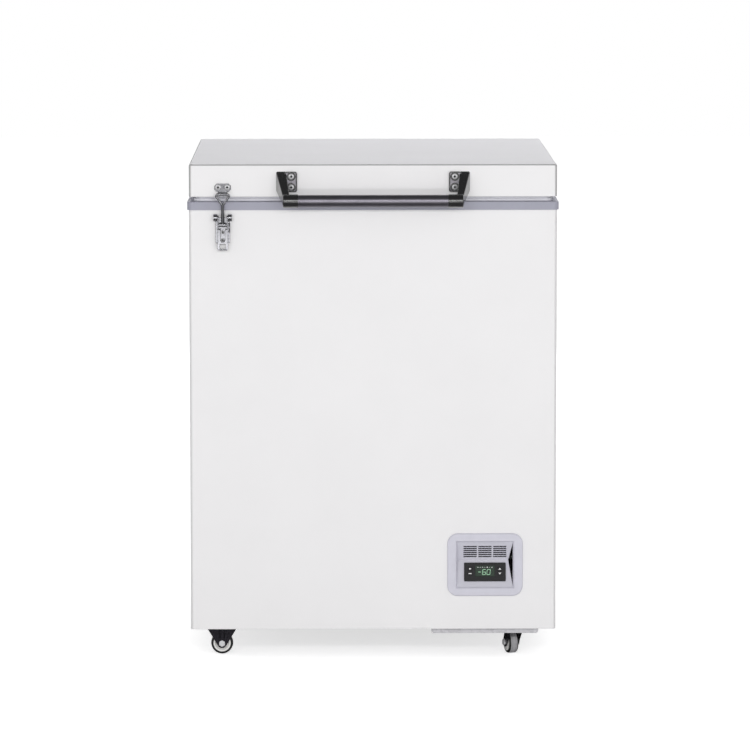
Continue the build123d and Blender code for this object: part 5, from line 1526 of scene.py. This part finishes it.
@dataclass
class Studio:
    """Pale floor, soft lamps, white surround and the camera of the photograph."""

    horizon: float = 0.80
    zenith: float = 0.36
    lamps: tuple[SoftBox, ...] = (
        SoftBox("front_strip", (0.0, -4.5, 1.75), (5.0, 0.35), 53.0),
        SoftBox("low_strip", (0.3, -4.0, 0.25), (4.0, 0.3), 20.5),
        SoftBox("back_box", (0.8, 4.2, 1.6), (3.2, 1.6), 40.0, (0.95, 0.95, 1.0)),
    )
    lit_height: float = 0.45
    ambient_rise: Pair = (0.15, 0.75)
    wall_rear: Pair = (-0.2, 0.4)
    wall_side: Pair = (0.30, 0.55)
    wall_top: Pair = (0.32, 0.58)
    floor_glow: float = 0.65
    floor_pale: Pair = (0.90, 0.94)
    floor_patch: float = 0.4
    floor_ahead: Pair = (-1.2, -4.5)
    floor_beside: Pair = (0.45, 0.9)
    floor_behind: Pair = (0.5, 1.5)
    mirrored_top: float = 0.14
    mirrored_rear: float = 0.34
    mirrored_floor: float = 0.28
    mirrored_far: float = 0.42
    mirrored_aside: float = 2.2
    floor_half: float = 14.0
    camera_at: Place = (-59.1 * MM, -8322.5 * MM, 1462.1 * MM)
    camera_pitch: float = 6.768
    camera_yaw: float = 0.448
    camera_roll: float = -0.035
    lens: float = 215.9
    sensor: float = 36.0
    clip_end: float = 100.0

    def camera(self) -> None:
        """Places the camera at the photograph's viewpoint."""
        data = bpy.data.cameras.new("view")
        data.sensor_width = self.sensor
        data.sensor_fit = "HORIZONTAL"
        data.lens = self.lens
        data.clip_end = self.clip_end
        view = new_object("view", data)
        pitch = math.radians(self.camera_pitch)
        yaw = math.radians(self.camera_yaw)
        level = math.cos(pitch)
        ahead = Vector((math.sin(yaw) * level, math.cos(yaw) * level, -math.sin(pitch)))
        right = Vector((math.cos(yaw), -math.sin(yaw), 0.0))
        up = right.cross(ahead)
        turn = Matrix((right, up, -ahead)).transposed().to_4x4()
        roll = Matrix.Rotation(math.radians(self.camera_roll), 4, "Z")
        view.matrix_world = Matrix.Translation(self.camera_at) @ turn @ roll
        bpy.context.scene.camera = view

    def surround(self) -> None:
        """Surround: white to the camera, dark above and grey behind in reflections, soft as light."""
        world = bpy.data.worlds.new("surround")
        bpy.context.scene.world = world
        sheet = Sheet.blank(world)
        rays = sheet.add("ShaderNodeLightPath").outputs
        seen = sheet.calc("MAXIMUM", rays["Is Camera Ray"], rays["Is Transmission Ray"])
        parts = sheet.axes(sheet.coordinate("Generated"))
        high = sheet.span(parts["Z"], self.ambient_rise)
        ambient = sheet.mix(high, grey(self.horizon), grey(self.zenith))
        beside = sheet.span(sheet.calc("ABSOLUTE", parts["X"]), self.wall_side)
        behind = sheet.mix(beside, grey(self.mirrored_rear), grey(1.0))
        wall = sheet.mix(sheet.span(parts["Y"], self.wall_rear), grey(1.0), behind)
        mirrored = sheet.mix(sheet.span(parts["Z"], self.wall_top), wall, grey(self.mirrored_top))
        light = sheet.mix(rays["Is Glossy Ray"], ambient, mirrored)
        shown = sheet.mix(seen, light, grey(1.0))
        back = sheet.out("ShaderNodeBackground", {"Color": shown, "Strength": 1.0})
        sheet.add("ShaderNodeOutputWorld", {"Surface": back})

    def floor(self) -> None:
        """Pale floor that keeps the object's shadow, with levels of its own in reflections."""
        half = self.floor_half

        def fill(work: BMesh) -> None:
            """Adds the floor's one face."""
            corners = ((-half, -half), (half, -half), (half, half), (-half, half))
            work.faces.new([work.verts.new((x, y, 0.0)) for x, y in corners])

        floor = make_piece("studio_floor", fill)
        material = bpy.data.materials.new("studio_floor")
        sheet = Sheet.blank(material)
        place = sheet.coordinate("Object")
        pale = sheet.mix(sheet.noise(place, self.floor_patch), *(grey(level) for level in self.floor_pale))
        rays = sheet.add("ShaderNodeLightPath").outputs
        parts = sheet.axes(place)
        ahead = sheet.span(parts["Y"], self.floor_ahead)
        beside = sheet.span(sheet.calc("ABSOLUTE", parts["X"]), self.floor_beside)
        far = sheet.calc("MAXIMUM", ahead, beside)
        mirrored = sheet.mix(far, grey(self.mirrored_floor), grey(self.mirrored_far))
        aside = sheet.calc("MULTIPLY", sheet.span(parts["Y"], self.floor_behind), beside)
        mirrored = sheet.mix(aside, mirrored, grey(self.mirrored_aside))
        shown = sheet.mix(rays["Is Glossy Ray"], pale, mirrored)
        matt = sheet.out("ShaderNodeBsdfDiffuse", {"Color": shown})
        strength = sheet.span(rays["Is Camera Ray"], (0.0, 1.0), (0.0, self.floor_glow))
        glow = sheet.out("ShaderNodeEmission", {"Color": grey(1.0), "Strength": strength})
        both = sheet.out("ShaderNodeAddShader", {0: matt, 1: glow})
        sheet.add("ShaderNodeOutputMaterial", {"Surface": both})
        floor.data.materials.append(material)

    def build(self) -> None:
        """Sets the view transform, camera, lamps, surround and floor."""
        bpy.context.scene.view_settings.view_transform = "Standard"
        self.camera()
        for lamp in self.lamps:
            lamp.build(Vector((0.0, 0.0, self.lit_height)))
        self.surround()
        self.floor()


def main() -> None:
    """Builds each sub-assembly, then the studio."""
    logging.basicConfig(level=logging.INFO, format="%(name)s: %(message)s")
    assemblies = (
        Cabinet(), Lid(), Handle(), Latch(), ControlPanel(), RunningGear(), Machinery(), Screws(), Studio(),
    )
    for assembly in assemblies:
        assembly.build()
        LOG.info("built %s", type(assembly).__name__)


if __name__ == "__main__":
    main()
